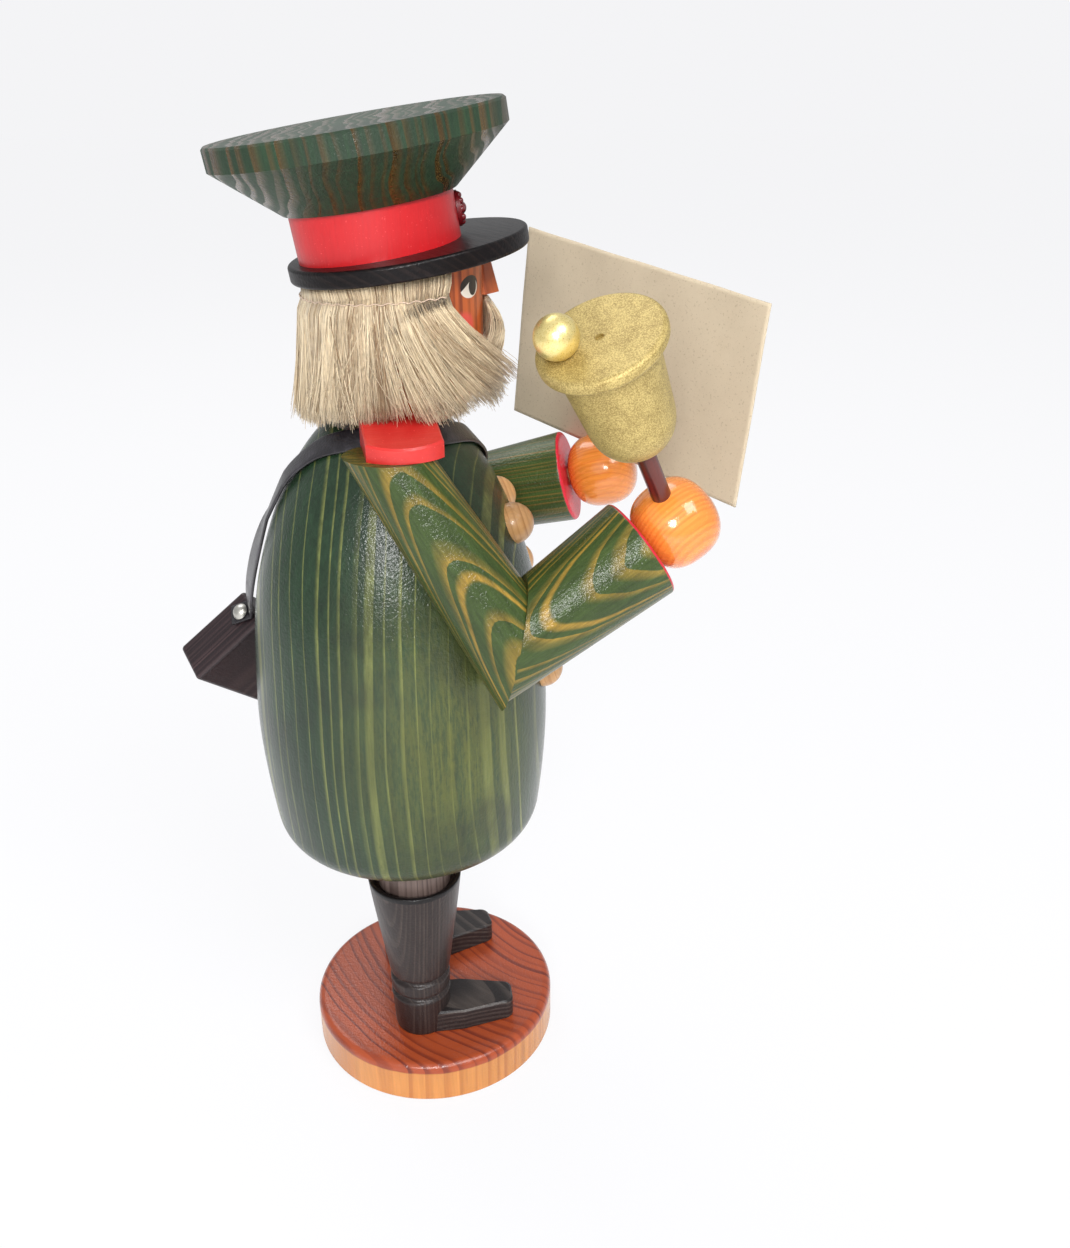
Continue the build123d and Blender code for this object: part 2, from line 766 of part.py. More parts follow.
def cap_band():
    """Plain turned band."""
    ring = Cylinder(band_diameter / 2, band_height, align=(Align.CENTER, Align.CENTER, Align.MIN))
    return cap_frame(visor_thickness) * ring - cap_dowel(glue_gap)


def cap_crown():
    """Wide crown: an upturned cone under a thick flat rim."""
    foot, top = crown_foot_diameter / 2, crown_diameter / 2
    high = crown_cone_height + crown_rim_height
    outline = Polyline((0, 0), (foot, 0), (top, crown_cone_height), (top, high - crown_edge_round),
                       (top - crown_edge_round, high), (0, high), close=True)
    return cap_frame(visor_thickness + band_height) * turned(outline) - cap_dowel(glue_gap)


def cockade():
    """Small round rosette on the front of the band: a boss in a ring of beads."""
    radius = cockade_diameter / 2
    badge = Cylinder(radius, cockade_thickness, align=(Align.CENTER, Align.CENTER, Align.MIN))
    badge += Pos(0, 0, cockade_thickness + cockade_petal_rise) * Sphere(cockade_boss_diameter / 2)
    circle = radius - cockade_rim - cockade_petal_diameter / 2
    for petal in range(cockade_petals):
        turn = Rot(0, 0, 360 * petal / cockade_petals) * Pos(circle, 0, cockade_thickness + cockade_petal_rise)
        badge += turn * Sphere(cockade_petal_diameter / 2)
    seat = cap_frame(visor_thickness + band_height / 2)
    ahead = -seat.y_dir
    face = Plane(origin=seat.origin + ahead * (band_diameter / 2 - cockade_thickness / 2), x_dir=(1, 0, 0), z_dir=ahead)
    badge = face * badge
    hollow = Cylinder(band_diameter / 2 + glue_gap, band_height * 2)
    return badge - seat * hollow


def strand(root, tip, root_radius=strand_radius, tip_radius=strand_tip_radius):
    """One straight three-sided bristle from its root to its tip."""
    way = (tip - root).normalized()
    wires = []
    for place, radius in ((root, root_radius), (tip, tip_radius)):
        section = Plane(origin=place, x_dir=way.cross(Vector(0, 0, 1)).normalized(), z_dir=way)
        wires.append((section * RegularPolygon(radius, 3)).wire())
    return Solid.make_loft(wires, ruled=True)


def around_head(turn, radius, height):
    """A point beside the head: turn in degrees, distance from its axis, height above the coat."""
    angle = radians(turn)
    return Vector(radius * cos(angle), head_set_back + radius * sin(angle), coat_top + height)


def under_visor(turn, radius):
    """How high above the coat the visor's underside is at a place round the head."""
    back = radius * sin(radians(turn)) - cap_back
    return cap_base_height - back * tan(radians(cap_lean))


def sewn_strip(radius, thickness, drop, height, middle_turn, half_turn):
    """The strip that bristles are sewn to: part of a ring, parallel to the visor's underside."""
    wall = Pos(radius + thickness / 2, 0) * Rectangle(thickness, 4 * head_height)
    ring = revolve(Plane.XZ * wall, Axis.Z, revolution_arc=2 * half_turn)
    ring = Pos(0, head_set_back, coat_top) * Rot(0, 0, middle_turn - half_turn) * ring
    ring = split(ring, bisect_by=cap_frame(-drop), keep=Keep.BOTTOM)
    return split(ring, bisect_by=cap_frame(-drop - height), keep=Keep.TOP)


def play(column, row):
    """A steady number between -1 and 1 that looks uneven from one bristle to the next."""
    return sin(column * play_step_share + row * play_row_share) * cos(column * play_beat_share + row)


def hair_fringe():
    """Hair and beard: straight bristles in three rows, from cheek to cheek round the back."""
    inner = head_diameter / 2 + glue_gap
    half = (360 - fringe_opening_angle) / 2
    thickness = fringe_layers * fringe_layer_spacing
    strip = sewn_strip(inner, thickness, fringe_gap, fringe_strip_height, 90, half)
    bristles = []
    for layer in range(fringe_layers):
        radius = inner + fringe_layer_spacing * (layer + 0.5)
        for column in range(fringe_columns):
            share = (column + 0.5 + (layer % 2) / 2) / (fringe_columns + 0.5)
            turn = 90 - half + 2 * half * share
            edge = abs(2 * share - 1) ** 6
            sweep = strand_sweep_angle * edge * (1 if share > 0.5 else -1)
            top = under_visor(turn, radius) - fringe_gap - fringe_strip_height + strand_root_depth
            uneven = play(column, layer) * strand_length_play
            length = strand_length + uneven - edge * strand_length / 5
            flare = strand_flare * (1 + layer) * (1 + edge) / 2
            bristles.append(strand(around_head(turn, radius, top), around_head(turn + sweep, radius + flare, top - length)))
    return strip.fuse(*bristles)


def moustache():
    """Two tufts of bristle that fall from under the nose to both sides of the mouth."""
    inner = head_diameter / 2 + glue_gap
    thickness = moustache_layers * fringe_layer_spacing
    drop = under_visor(270, inner) - moustache_height
    tufts = []
    for side in (-1, 1):
        middle = 270 + side * (moustache_half_angle + moustache_part_angle) / 2
        half = (moustache_half_angle - moustache_part_angle) / 2
        strip = sewn_strip(inner, thickness, drop, moustache_strip_height, middle, half)
        bristles = []
        for layer in range(moustache_layers):
            radius = inner + fringe_layer_spacing * (layer + 0.5)
            for column in range(moustache_columns):
                share = (column + 0.5) / moustache_columns
                turn = 270 + side * (moustache_part_angle + (moustache_half_angle - moustache_part_angle) * share)
                top = under_visor(turn, radius) - drop - moustache_strip_height + strand_root_depth
                length = moustache_length * (1 - share / 3) + play(column, layer) * strand_length_play / 2
                spread = side * moustache_spread_angle * share
                bristles.append(strand(around_head(turn, radius, top),
                                       around_head(turn + spread, radius + moustache_flare * (1 + layer / 2), top - length)))
        tufts.append(strip.fuse(*bristles))
    return tufts


def bag_frame():
    """The middle of the bag and its three directions: out of its face, along its width and up."""
    turn, tilt, roll = radians(bag_face_turn), radians(bag_face_tilt), radians(bag_roll)
    outward = Vector(cos(turn) * cos(tilt), sin(turn) * cos(tilt), sin(tilt))
    level = Vector(sin(turn), -cos(turn), 0)
    upward = outward.cross(level) * -1
    width = level * cos(roll) - upward * sin(roll)
    height = upward * cos(roll) + level * sin(roll)
    middle = Vector(bag_out, coat_set_back + bag_back, coat_bottom + bag_rise)
    return middle, outward, width, height


def tack_seat(end):
    """Where a strap tack enters the bag's end face, and the way out of that face."""
    middle, outward, width, height = bag_frame()
    return middle + width * (end * bag_width / 2) + height * (bag_height / 2 - tack_top_inset), width * end


def bag():
    """Wooden block bag with rounded edges and a tack hole in each end."""
    middle, outward, width, height = bag_frame()
    block = fillet(Box(bag_width, bag_height, bag_thickness).edges(), bag_edge_round)
    body = Plane(origin=middle, x_dir=width, z_dir=width.cross(height)) * block
    for end in (-1, 1):
        seat, way = tack_seat(end)
        body -= rod(seat + way * cut_overrun, seat - way * (tack_shank_length + glue_gap), tack_shank_diameter + 2 * glue_gap)
    return body


def strap_tack(end):
    """Round-headed tack that holds one end of the strap on the bag."""
    seat, way = tack_seat(end)
    under_head = seat + way * (strap_thickness + 2 * rest_gap)
    shank = rod(under_head, seat - way * tack_shank_length, tack_shank_diameter)
    ball_radius = (tack_head_diameter ** 2 / 4 + tack_head_height ** 2) / (2 * tack_head_height)
    ball = Pos(under_head - way * (ball_radius - tack_head_height)) * Sphere(ball_radius)
    return shank + split(ball, bisect_by=Plane(origin=under_head, z_dir=way), keep=Keep.TOP)


def strap_tail(end, leaving, before):
    """Places on the strap from its tab under a tack up to where it leaves the coat."""
    seat, way = tack_seat(end)
    middle, outward, width, height = bag_frame()
    skew = radians(strap_rear_skew) if end < 0 else 0
    climb = height * cos(skew) - outward * sin(skew)
    tack = seat + way * (rest_gap + strap_thickness / 2)
    tab_foot = tack - climb * (strap_tab_length / 2)
    tab_top = tack + climb * (strap_tab_length / 2)
    places = []
    for step in range(strap_tab_steps + 1):
        places.append((tab_foot + climb * (strap_tab_length * step / strap_tab_steps), way))
    arrival = (leaving[0] - before[0]).normalized()
    bend = climb * strap_tab_bend + way * (strap_rear_lift if end < 0 else 0)
    curve = Bezier(tab_top, tab_top + bend, leaving[0] + arrival * strap_coat_bend, leaving[0])
    for step in range(1, strap_tail_steps):
        share = step / strap_tail_steps
        places.append((curve @ share, (way * (1 - share) + leaving[1] * share).normalized()))
    return places


def strap_places():
    """The middle of the strap and its way out, from the rear tab over the shoulder to the front tab."""
    route = Spline(*strap_route_shares)
    on_coat = []
    for step in range(strap_coat_steps + 1):
        spot = route @ (step / strap_coat_steps)
        height = coat_bottom + coat_height * spot.Y
        on_coat.append(coat_surface(360 * spot.X, height, strap_lift + strap_thickness / 2))
    rear = strap_tail(-1, on_coat[0], on_coat[1])
    front = strap_tail(1, on_coat[-1], on_coat[-2])
    return rear + on_coat + front[::-1]


def strap():
    """Flat strap: over the right shoulder and down to a tab on each end of the bag."""
    places = strap_places()
    sections = []
    for index, (point, outward) in enumerate(places):
        before = places[max(index - 1, 0)][0]
        after = places[min(index + 1, len(places) - 1)][0]
        along = (after - before).normalized()
        across = along.cross(outward).normalized()
        section = Plane(origin=point, x_dir=across, z_dir=along)
        sections.append(section * Rectangle(strap_width, strap_thickness))
    body = loft(sections)
    for end in (-1, 1):
        seat, way = tack_seat(end)
        body -= rod(seat, seat + way * (strap_thickness + 2 * rest_gap), tack_shank_diameter + 2 * rest_gap)
    return body


def main():
    save("base_plate", base_plate())
    for name, side in (("right", -1), ("left", 1)):
        save(name + "_boot", boot(side))
        save(name + "_shoe", shoe(side))
        save(name + "_leg", leg(side))
        save(name + "_upper_arm", upper_arm(side))
        save(name + "_forearm", forearm(side))
        save(name + "_hand", hand(side))
        save(name + "_epaulette", epaulette(side))
    save("leg_disc", leg_disc())
    save("incense_plate", incense_plate())
    save("plate_nail", plate_nail())
    save("coat", coat())
    save("coat_buttons", as_group(button(row, side) for row in range(button_rows) for side in (-1, 1)))
    save("shoulder_dowels", as_group(shoulder_dowel(start, end) for start, end in shoulder_dowel_ends()))
    save("wrist_dowels", as_group(wrist_dowel(side) for side in (-1, 1)))
    save("bell", bell())
    save("bell_handle", bell_handle())
    save("clapper_ball", clapper_ball())
    save("paper_sheet", paper_sheet())
    save("neck_tube", neck_tube())
    save("head", head())
    save("nose", nose())
    save("cap_dowel", cap_dowel())
    save("cap_visor", cap_visor())
    save("cap_band", cap_band())
    save("cap_crown", cap_crown())
    save("cockade", cockade())
    save("hair_fringe", hair_fringe())
    save("moustache", as_group(moustache()))
    save("bag", bag())
    save("strap_tacks", as_group(strap_tack(end) for end in (-1, 1)))
    save("strap", strap())


main()
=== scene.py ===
"""Dressed model of a turned wooden incense smoker: a town crier with a bell, a sheet and a bag.

Every length is in metres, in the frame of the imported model: the origin is the middle of the base
plate's underside, up is +Z, the figure faces -Y and its own right arm is on the -X side.
"""

from __future__ import annotations

import logging
from dataclasses import dataclass
from enum import Enum
from math import cos, radians, sin, tan

import bpy
import numpy as np
from mathutils import Matrix, Vector


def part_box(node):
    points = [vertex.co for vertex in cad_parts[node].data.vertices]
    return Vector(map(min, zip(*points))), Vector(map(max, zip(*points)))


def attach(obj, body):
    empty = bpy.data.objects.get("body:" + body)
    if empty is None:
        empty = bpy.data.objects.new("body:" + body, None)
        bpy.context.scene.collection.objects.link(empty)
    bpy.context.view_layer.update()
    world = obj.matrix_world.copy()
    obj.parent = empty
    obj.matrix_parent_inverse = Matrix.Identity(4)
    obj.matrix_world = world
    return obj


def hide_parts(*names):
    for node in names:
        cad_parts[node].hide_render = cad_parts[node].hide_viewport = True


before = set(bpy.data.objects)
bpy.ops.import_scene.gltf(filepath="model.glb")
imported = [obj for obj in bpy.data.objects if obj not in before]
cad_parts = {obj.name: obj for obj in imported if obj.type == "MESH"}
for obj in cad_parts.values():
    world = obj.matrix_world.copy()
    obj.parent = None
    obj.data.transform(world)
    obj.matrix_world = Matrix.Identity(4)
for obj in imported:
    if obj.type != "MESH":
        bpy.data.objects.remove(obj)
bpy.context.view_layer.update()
LOG = logging.getLogger("smoker")

Array = np.ndarray
Material = bpy.types.Material
Socket = bpy.types.NodeSocket
Input = Socket | float | tuple
Colour = tuple[float, float, float]
Point = tuple[float, float, float]
Range = tuple[float, float, float]

MM = 0.001
ORIGIN = (0.0, 0.0, 0.0)
UP = (0.0, 0.0, 1.0)
HEAD_BACK = 0.4 * MM
COAT_BACK = 4.2 * MM
COAT_TOP = 182.0 * MM
COAT_FOOT = 71.0 * MM
CAP_LEAN = radians(8.7)
EYE_ARC = 0.01345
EYE_HEIGHT = 0.2123


class Side(Enum):
    """The figure's own right or left; the value is the sign of X on that side."""

    RIGHT = -1
    LEFT = 1


def shade(red: int, green: int, blue: int) -> Colour:
    """Turn a colour as seen, 0 to 255 a channel, into the linear values that shaders use.

    Args:
        red: Red as seen.
        green: Green as seen.
        blue: Blue as seen.

    Returns:
        Linear red, green and blue from 0 to 1, by the usual screen curve.
    """
    seen = np.array([red, green, blue]) / 255.0
    linear = np.where(seen <= 0.04045, seen / 12.92, ((seen + 0.055) / 1.055) ** 2.4)
    return tuple(float(value) for value in linear)


@dataclass(frozen=True)
class Noise:
    """A noise texture: scale per metre, detail, roughness, and its stretch along the grain."""

    scale: float
    detail: float = 2.0
    rough: float = 0.5
    stretch: float = 1.0


class Network:
    """A material's nodes, with short ways to add and join them."""

    def __init__(self, name: str) -> None:
        """Start a material that ends in one Principled shader.

        Args:
            name: The material's name.
        """
        self.material = bpy.data.materials.new(name)
        self.material.use_nodes = True
        self.tree = self.material.node_tree
        self.tree.nodes.clear()
        self.skin = self.add("BsdfPrincipled")
        self.output = self.add("OutputMaterial")
        self.put(self.output.inputs["Surface"], self.skin.outputs["BSDF"])
        self.place = self.add("TexCoord").outputs["Object"]

    def add(self, kind: str) -> bpy.types.ShaderNode:
        """Add a shader node of a kind."""
        return self.tree.nodes.new("ShaderNode" + kind)

    def put(self, socket: Socket, value: Input) -> None:
        """Join a socket to another, or set its value."""
        if isinstance(value, Socket):
            self.tree.links.new(value, socket)
        elif isinstance(value, tuple) and socket.type == "RGBA":
            socket.default_value = (*value, 1.0)
        else:
            socket.default_value = value

    def fill(self, node: bpy.types.ShaderNode, **values: Input) -> bpy.types.ShaderNode:
        """Put values on a node's sockets, named with _ for a space, and return the node."""
        for name, value in values.items():
            self.put(node.inputs[name.replace("_", " ")], value)
        return node

    def math(self, operation: str, first: Input, second: Input = 0.0, third: Input = 0.0) -> Socket:
        """Add a Math node and return its value.

        Args:
            operation: What the node does.
            first: Its first input.
            second: Its second input.
            third: Its third input.

        Returns:
            Its value.
        """
        node = self.add("Math")
        node.operation = operation
        for socket, value in zip(node.inputs, (first, second, third)):
            self.put(socket, value)
        return node.outputs[0]

    def plus(self, first: Input, second: Input) -> Socket:
        """The sum of two numbers."""
        return self.math("ADD", first, second)

    def minus(self, first: Input, second: Input) -> Socket:
        """The first number less the second."""
        return self.math("SUBTRACT", first, second)

    def times(self, first: Input, second: Input) -> Socket:
        """The product of two numbers."""
        return self.math("MULTIPLY", first, second)

    def line(self, value: Input, slope: Input, start: Input) -> Socket:
        """A value times a slope, plus a start."""
        return self.math("MULTIPLY_ADD", value, slope, start)

    def vary(self, value: Input, middle: float, reach: float) -> Socket:
        """From a reach below a middle to as much above it, as a value goes from 0 to 1."""
        return self.line(value, 2 * reach, middle - reach)

    def radius(self, x: Socket, y: Socket) -> Socket:
        """The square root of x squared plus y squared."""
        return self.math("SQRT", self.plus(self.times(x, x), self.times(y, y)))

    def vector(self, operation: str, first: Input, second: Input = ORIGIN) -> Socket:
        """Add a Vector Math node and return its vector, or its number for a product or length.

        Args:
            operation: What the node does.
            first: Its first input.
            second: Its second input.

        Returns:
            The vector or the number.
        """
        node = self.add("VectorMath")
        node.operation = operation
        self.put(node.inputs[0], first)
        self.put(node.inputs[1], second)
        return node.outputs["Value" if operation in ("DOT_PRODUCT", "LENGTH") else "Vector"]

    def split(self, vector: Socket) -> tuple[Socket, ...]:
        """Return the three parts of a vector."""
        return tuple(self.fill(self.add("SeparateXYZ"), Vector=vector).outputs)

    def grey(self, value: Socket) -> Socket:
        """The same number three times, as a vector."""
        return self.fill(self.add("CombineXYZ"), X=value, Y=value, Z=value).outputs[0]

    def mapped(self, origin: Point, along: Point, stretch: float = 1.0) -> Socket:
        """Object coordinates counted from an origin, with their Z along a direction.

        Args:
            origin: The place that becomes zero.
            along: The direction that becomes Z.
            stretch: How many times longer the pattern gets along Z.

        Returns:
            The turned coordinates.
        """
        node = self.add("Mapping")
        node.vector_type = "TEXTURE"
        turn = tuple(Vector(along).to_track_quat("Z", "Y").to_euler())
        self.fill(node, Vector=self.place, Location=origin, Rotation=turn, Scale=(1.0, 1.0, stretch))
        return node.outputs[0]

    def noise(self, noise: Noise, place: Socket | None = None, output: str = "Fac") -> Socket:
        """Add a Noise texture, at the object's own coordinates unless others are given.

        Args:
            noise: The texture's values.
            place: Other coordinates.
            output: Fac for one number, Color for three.

        Returns:
            The texture's output.
        """
        node = self.fill(
            self.add("TexNoise"), Vector=self.place if place is None else place, Scale=noise.scale,
            Detail=noise.detail, Roughness=noise.rough)
        return node.outputs[output]

    def ramp(self, value: Input, low: float, high: float, most: float = 1.0) -> Socket:
        """A number that goes smoothly from 0 at low to the most at high, and stays there.

        Args:
            value: The input.
            low: Where the rise starts.
            high: Where it ends.
            most: What it ends at.

        Returns:
            The number.
        """
        node = self.add("MapRange")
        node.interpolation_type = "SMOOTHSTEP"
        return self.fill(node, Value=value, From_Min=low, From_Max=high, To_Max=most).outputs["Result"]

    def edge(self, height: Input, noise: Noise, waver: float, low: float, soft: float) -> Socket:
        """0 below a line that wavers by a noise and 1 above it, over a soft width."""
        return self.ramp(self.line(self.noise(noise), waver, height), low, low + soft)

    def mix(self, share: Input, first: Input, second: Input) -> Socket:
        """Mix two colours by a share of the second.

        Args:
            share: The share of the second colour.
            first: The first colour.
            second: The second colour.

        Returns:
            The mixed colour.
        """
        node = self.add("Mix")
        node.data_type = "RGBA"
        for number, value in ((0, share), (6, first), (7, second)):
            self.put(node.inputs[number], value)
        return node.outputs[2]

    def cover(self, colour: Input, rough: Input, coat: float = 0.0, coat_rough: float = 0.1,
              **more: float) -> None:
        """Give the shader its colour and roughness, the clear lacquer over it, and other values."""
        self.fill(self.skin, Base_Color=colour, Roughness=rough, Coat_Weight=coat,
                  Coat_Roughness=coat_rough, **more)

    def raise_surface(self, height: Input, depth: float) -> None:
        """Bump the surface and its lacquer by a height from 0 to 1 times a depth in metres."""
        bump = self.fill(self.add("Bump"), Strength=1.0, Distance=depth, Height=height).outputs[0]
        self.fill(self.skin, Normal=bump, Coat_Normal=bump)


@dataclass(frozen=True)
class Finish:
    """The look of one material."""

    name: str

    def material(self) -> Material:
        """Build the material.

        Returns:
            The material.
        """
        net = Network(self.name)
        self.lay(net)
        return net.material

    def lay(self, net: Network) -> None:
        """Add the nodes of the look, which each kind of finish does in its own way.

        Args:
            net: The material's nodes.
        """
        raise NotImplementedError


@dataclass(frozen=True)
class Grain:
    """How a tree's growth rings lie in a piece: rings about a pith line, with some wander."""

    pith: Point
    along: Point
    spacing: float
    late_share: float = 0.25
    wander: float = 0.0012
    wander_scale: float = 28.0
    rise_share: float = 0.28
    uneven: float = 1.5
    overlap_share: float = 0.35
    fall_share: float = 0.045
    weight: float = 0.75
    weight_reach: float = 0.35
    years: Noise = Noise(0.55, 1.0)

    def noise(self, net: Network, noise: Noise, output: str = "Fac") -> Socket:
        """A noise stretched along the grain."""
        return net.noise(noise, net.mapped(self.pith, self.along, noise.stretch), output)

    def late(self, net: Network) -> Socket:
        """The share of late wood at each place.

        A place's distance from the pith line, moved by a slow noise, is counted in ring widths.
        The part of a ring that is left over rises from 0 to 1, and its last share is late wood.
        Rings differ in width by a noise of their own count, and each has its own weight.

        Args:
            net: The material's nodes.

        Returns:
            The share, from 0 in early wood.
        """
        slow = self.noise(net, Noise(self.wander_scale, stretch=4.5), "Color")
        drift = net.vector("SUBTRACT", slow, (0.5, 0.5, 0.5))
        drift = net.vector("MULTIPLY", drift, (self.wander * 4, self.wander * 4, 0.0))
        x, y, _ = net.split(net.vector("ADD", net.mapped(self.pith, self.along), drift))
        count = net.math("DIVIDE", net.radius(x, y), self.spacing)
        age = net.line(net.noise(self.years, net.grey(count)), self.uneven, count)
        left_over = net.math("FRACT", age)
        chance = net.add("TexWhiteNoise")
        chance.noise_dimensions = "1D"
        net.fill(chance, W=net.math("FLOOR", age))
        start = 1.0 - self.late_share
        rise = net.ramp(left_over, start - self.rise_share, start + self.overlap_share * self.rise_share)
        fall = net.ramp(left_over, 1.0, 1.0 - self.fall_share)
        weight = net.vary(chance.outputs["Value"], self.weight, self.weight_reach)
        return net.times(net.times(rise, fall), weight)


@dataclass(frozen=True)
class WoodFinish(Finish):
    """Stained and lacquered wood."""

    early: Colour
    late: Colour
    grain: Grain
    rough: float = 0.38
    coat: float = 0.5
    coat_rough: float = 0.12
    fibre: float = 0.22
    blotch: float = 0.25
    ring_strength: float = 0.9
    ring_reach: float = 0.45
    peel: float = 0.00003
    specular: float = 0.3
    streaky: float = 0.5
    ring_gloss: float = 0.0
    rough_reach: float = 0.1
    fibre_relief: float = 0.5
    fibre_noise: Noise = Noise(1500.0, 3.0, 0.7, 26.0)
    streak_noise: Noise = Noise(520.0, 3.0, 0.6, 16.0)
    cloud_noise: Noise = Noise(34.0)
    bubble_noise: Noise = Noise(1500.0, 2.0, 0.6)

    def stained(self, net: Network, late: Socket, fibres: Socket) -> Socket:
        """The stained wood's colour: early and late wood, times fibres, clouds and streaks.

        Args:
            net: The material's nodes.
            late: The share of late wood.
            fibres: The fine fibres, from 0 to 1.

        Returns:
            The colour.
        """
        streaks = self.grain.noise(net, self.streak_noise)
        share = net.times(late, net.vary(streaks, self.ring_strength, self.ring_reach))
        dark = net.vary(fibres, 1.0, self.fibre)
        cloud = net.vary(net.noise(self.cloud_noise), 1.0, self.blotch)
        scale = net.times(net.times(dark, cloud), net.vary(streaks, 1.0, self.streaky / 2))
        return net.vector("MULTIPLY", net.mix(share, self.early, self.late), net.grey(scale))

    def painted(self, net: Network, wood: Socket, late: Socket, fibres: Socket) -> Socket:
        """Lay over the stained wood what a kind of finish has there, here nothing.

        Args:
            net: The material's nodes.
            wood: The stained wood's colour.
            late: The share of late wood.
            fibres: The fine fibres, from 0 to 1.

        Returns:
            The colour.
        """
        return wood

    def lay(self, net: Network) -> None:
        """Stain the wood, paint over it, and lacquer it with a relief of fibres and small bubbles."""
        late, fibres = self.grain.late(net), self.grain.noise(net, self.fibre_noise)
        colour = self.painted(net, self.stained(net, late, fibres), late, fibres)
        rough = net.vary(fibres, self.rough, self.rough_reach)
        if self.ring_gloss:
            rough = net.minus(rough, net.times(late, self.ring_gloss))
        net.cover(colour, rough, self.coat, self.coat_rough, Specular_IOR_Level=self.specular)
        net.raise_surface(net.line(fibres, self.fibre_relief, net.noise(self.bubble_noise)), self.peel)


@dataclass(frozen=True)
class SleeveFinish(WoodFinish):
    """Sleeve wood, with paint on a forearm's end from a little before its rounded edge."""

    rough: float = 0.42
    coat: float = 0.4
    coat_rough: float = 0.05
    fibre: float = 0.6
    blotch: float = 0.35
    ring_strength: float = 0.85
    peel: float = 0.00015
    specular: float = 0.15
    streaky: float = 1.0
    cuff: Point | None = None
    way: Point = UP
    paint: Colour = shade(206, 34, 56)
    worn_paint: Colour = (0.25, 0.01, 0.02)
    worn_share: float = 0.25
    paint_start: float = -0.00055
    paint_soft: float = 0.00025
    waver: float = 0.0004
    waver_noise: Noise = Noise(300.0)

    def painted(self, net: Network, wood: Socket, late: Socket, fibres: Socket) -> Socket:
        """Paint what lies past the cuff's line, if there is a cuff."""
        if self.cuff is None:
            return wood
        depth = net.vector("DOT_PRODUCT", net.vector("SUBTRACT", net.place, self.cuff), self.way)
        end = net.edge(depth, self.waver_noise, self.waver, self.paint_start, self.paint_soft)
        return net.mix(end, wood, net.mix(net.times(fibres, self.worn_share), self.paint, self.worn_paint))


@dataclass(frozen=True)
class CoatFinish(WoodFinish):
    """Green coat wood with a painted highlight: a lighter, yellower tone round a spot on its lit front."""

    # Painted highlight: a lighter, yellower tone laid in streaks round a middle point, standing in for the
    # lamps' light on the lacquer of the coat's lit front.
    painted_highlight: Point = ORIGIN
    painted_highlight_reach: float = 0.03
    painted_highlight_shape: Point = (1.0, 1.0, 0.55)
    painted_highlight_fade_shares: tuple[float, float] = (2.3, 0.5)
    painted_highlight_waver: float = 0.034
    painted_highlight_tone: Colour = ORIGIN
    painted_highlight_noise: Noise = Noise(620.0, 4.0, 0.7, 22.0)
    painted_highlight_streaks: Range = (0.55, 0.95, 0.7)
    painted_highlight_least: float = 0.15
    smoke_tone: Colour = ORIGIN
    grime_noise: Noise = Noise(46.0, 3.0, 0.6)
    grime: Range = (0.45, 0.75, 0.45)
    fleck_noise: Noise = Noise(1500.0, 3.0, 0.7, 3.5)
    flecks: Range = (0.55, 0.75, 0.28)

    def painted(self, net: Network, wood: Socket, late: Socket, fibres: Socket) -> Socket:
        """Add the painted highlight's lighter tone in streaks round its middle, and a darker tone in
        patches and flecks.
        """
        near = net.vector("MULTIPLY", net.vector("SUBTRACT", net.place, self.painted_highlight), self.painted_highlight_shape)
        streaks, flecks = (self.grain.noise(net, noise) for noise in (self.painted_highlight_noise, self.fleck_noise))
        reach = net.line(streaks, self.painted_highlight_waver, net.vector("LENGTH", near))
        share = net.ramp(reach, *(self.painted_highlight_reach * fade for fade in self.painted_highlight_fade_shares))
        streaky = net.ramp(net.line(flecks, 0.5, streaks), *self.painted_highlight_streaks)
        # Mix in the painted highlight's lighter tone, strongest near its middle.
        colour = net.mix(net.times(share, net.plus(streaky, self.painted_highlight_least)), wood, self.painted_highlight_tone)
        colour = net.mix(net.ramp(net.noise(self.grime_noise), *self.grime), colour, self.smoke_tone)
        return net.mix(net.ramp(flecks, *self.flecks), colour, self.smoke_tone)


@dataclass(frozen=True)
class BootFinish(WoodFinish):
    """Boot wood with a glossy black band painted round its mouth."""

    mouth: float = 0.0
    mouth_soft: float = 0.0002
    paint: Colour = ORIGIN
    waver: float = 0.0006
    waver_noise: Noise = Noise(400.0)

    def painted(self, net: Network, wood: Socket, late: Socket, fibres: Socket) -> Socket:
        """Paint everything above the mouth line, which wavers a little."""
        height = net.split(net.place)[2]
        above = net.edge(height, self.waver_noise, self.waver, self.mouth, self.mouth_soft)
        return net.mix(above, wood, self.paint)


@dataclass(frozen=True)
class BaseFinish(WoodFinish):
    """A slice across the grain, stained red on top and left golden round its side."""

    stain: Colour = ORIGIN
    stain_ring: Colour = ORIGIN
    stain_foot: float = 0.0
    stain_soft: float = 0.0005
    stain_blotch: float = 0.35
    blotch_noise: Noise = Noise(90.0, 3.0)
    waver: float = 0.0009
    waver_noise: Noise = Noise(120.0)

    def painted(self, net: Network, wood: Socket, late: Socket, fibres: Socket) -> Socket:
        """Stain everything above a height, with a slightly soft lower edge."""
        red = net.mix(late, self.stain, self.stain_ring)
        red = net.mix(net.times(net.noise(self.blotch_noise), self.stain_blotch), red, self.stain_ring)
        height = net.split(net.place)[2]
        above = net.edge(height, self.waver_noise, self.waver, self.stain_foot, self.stain_soft)
        return net.mix(above, wood, red)


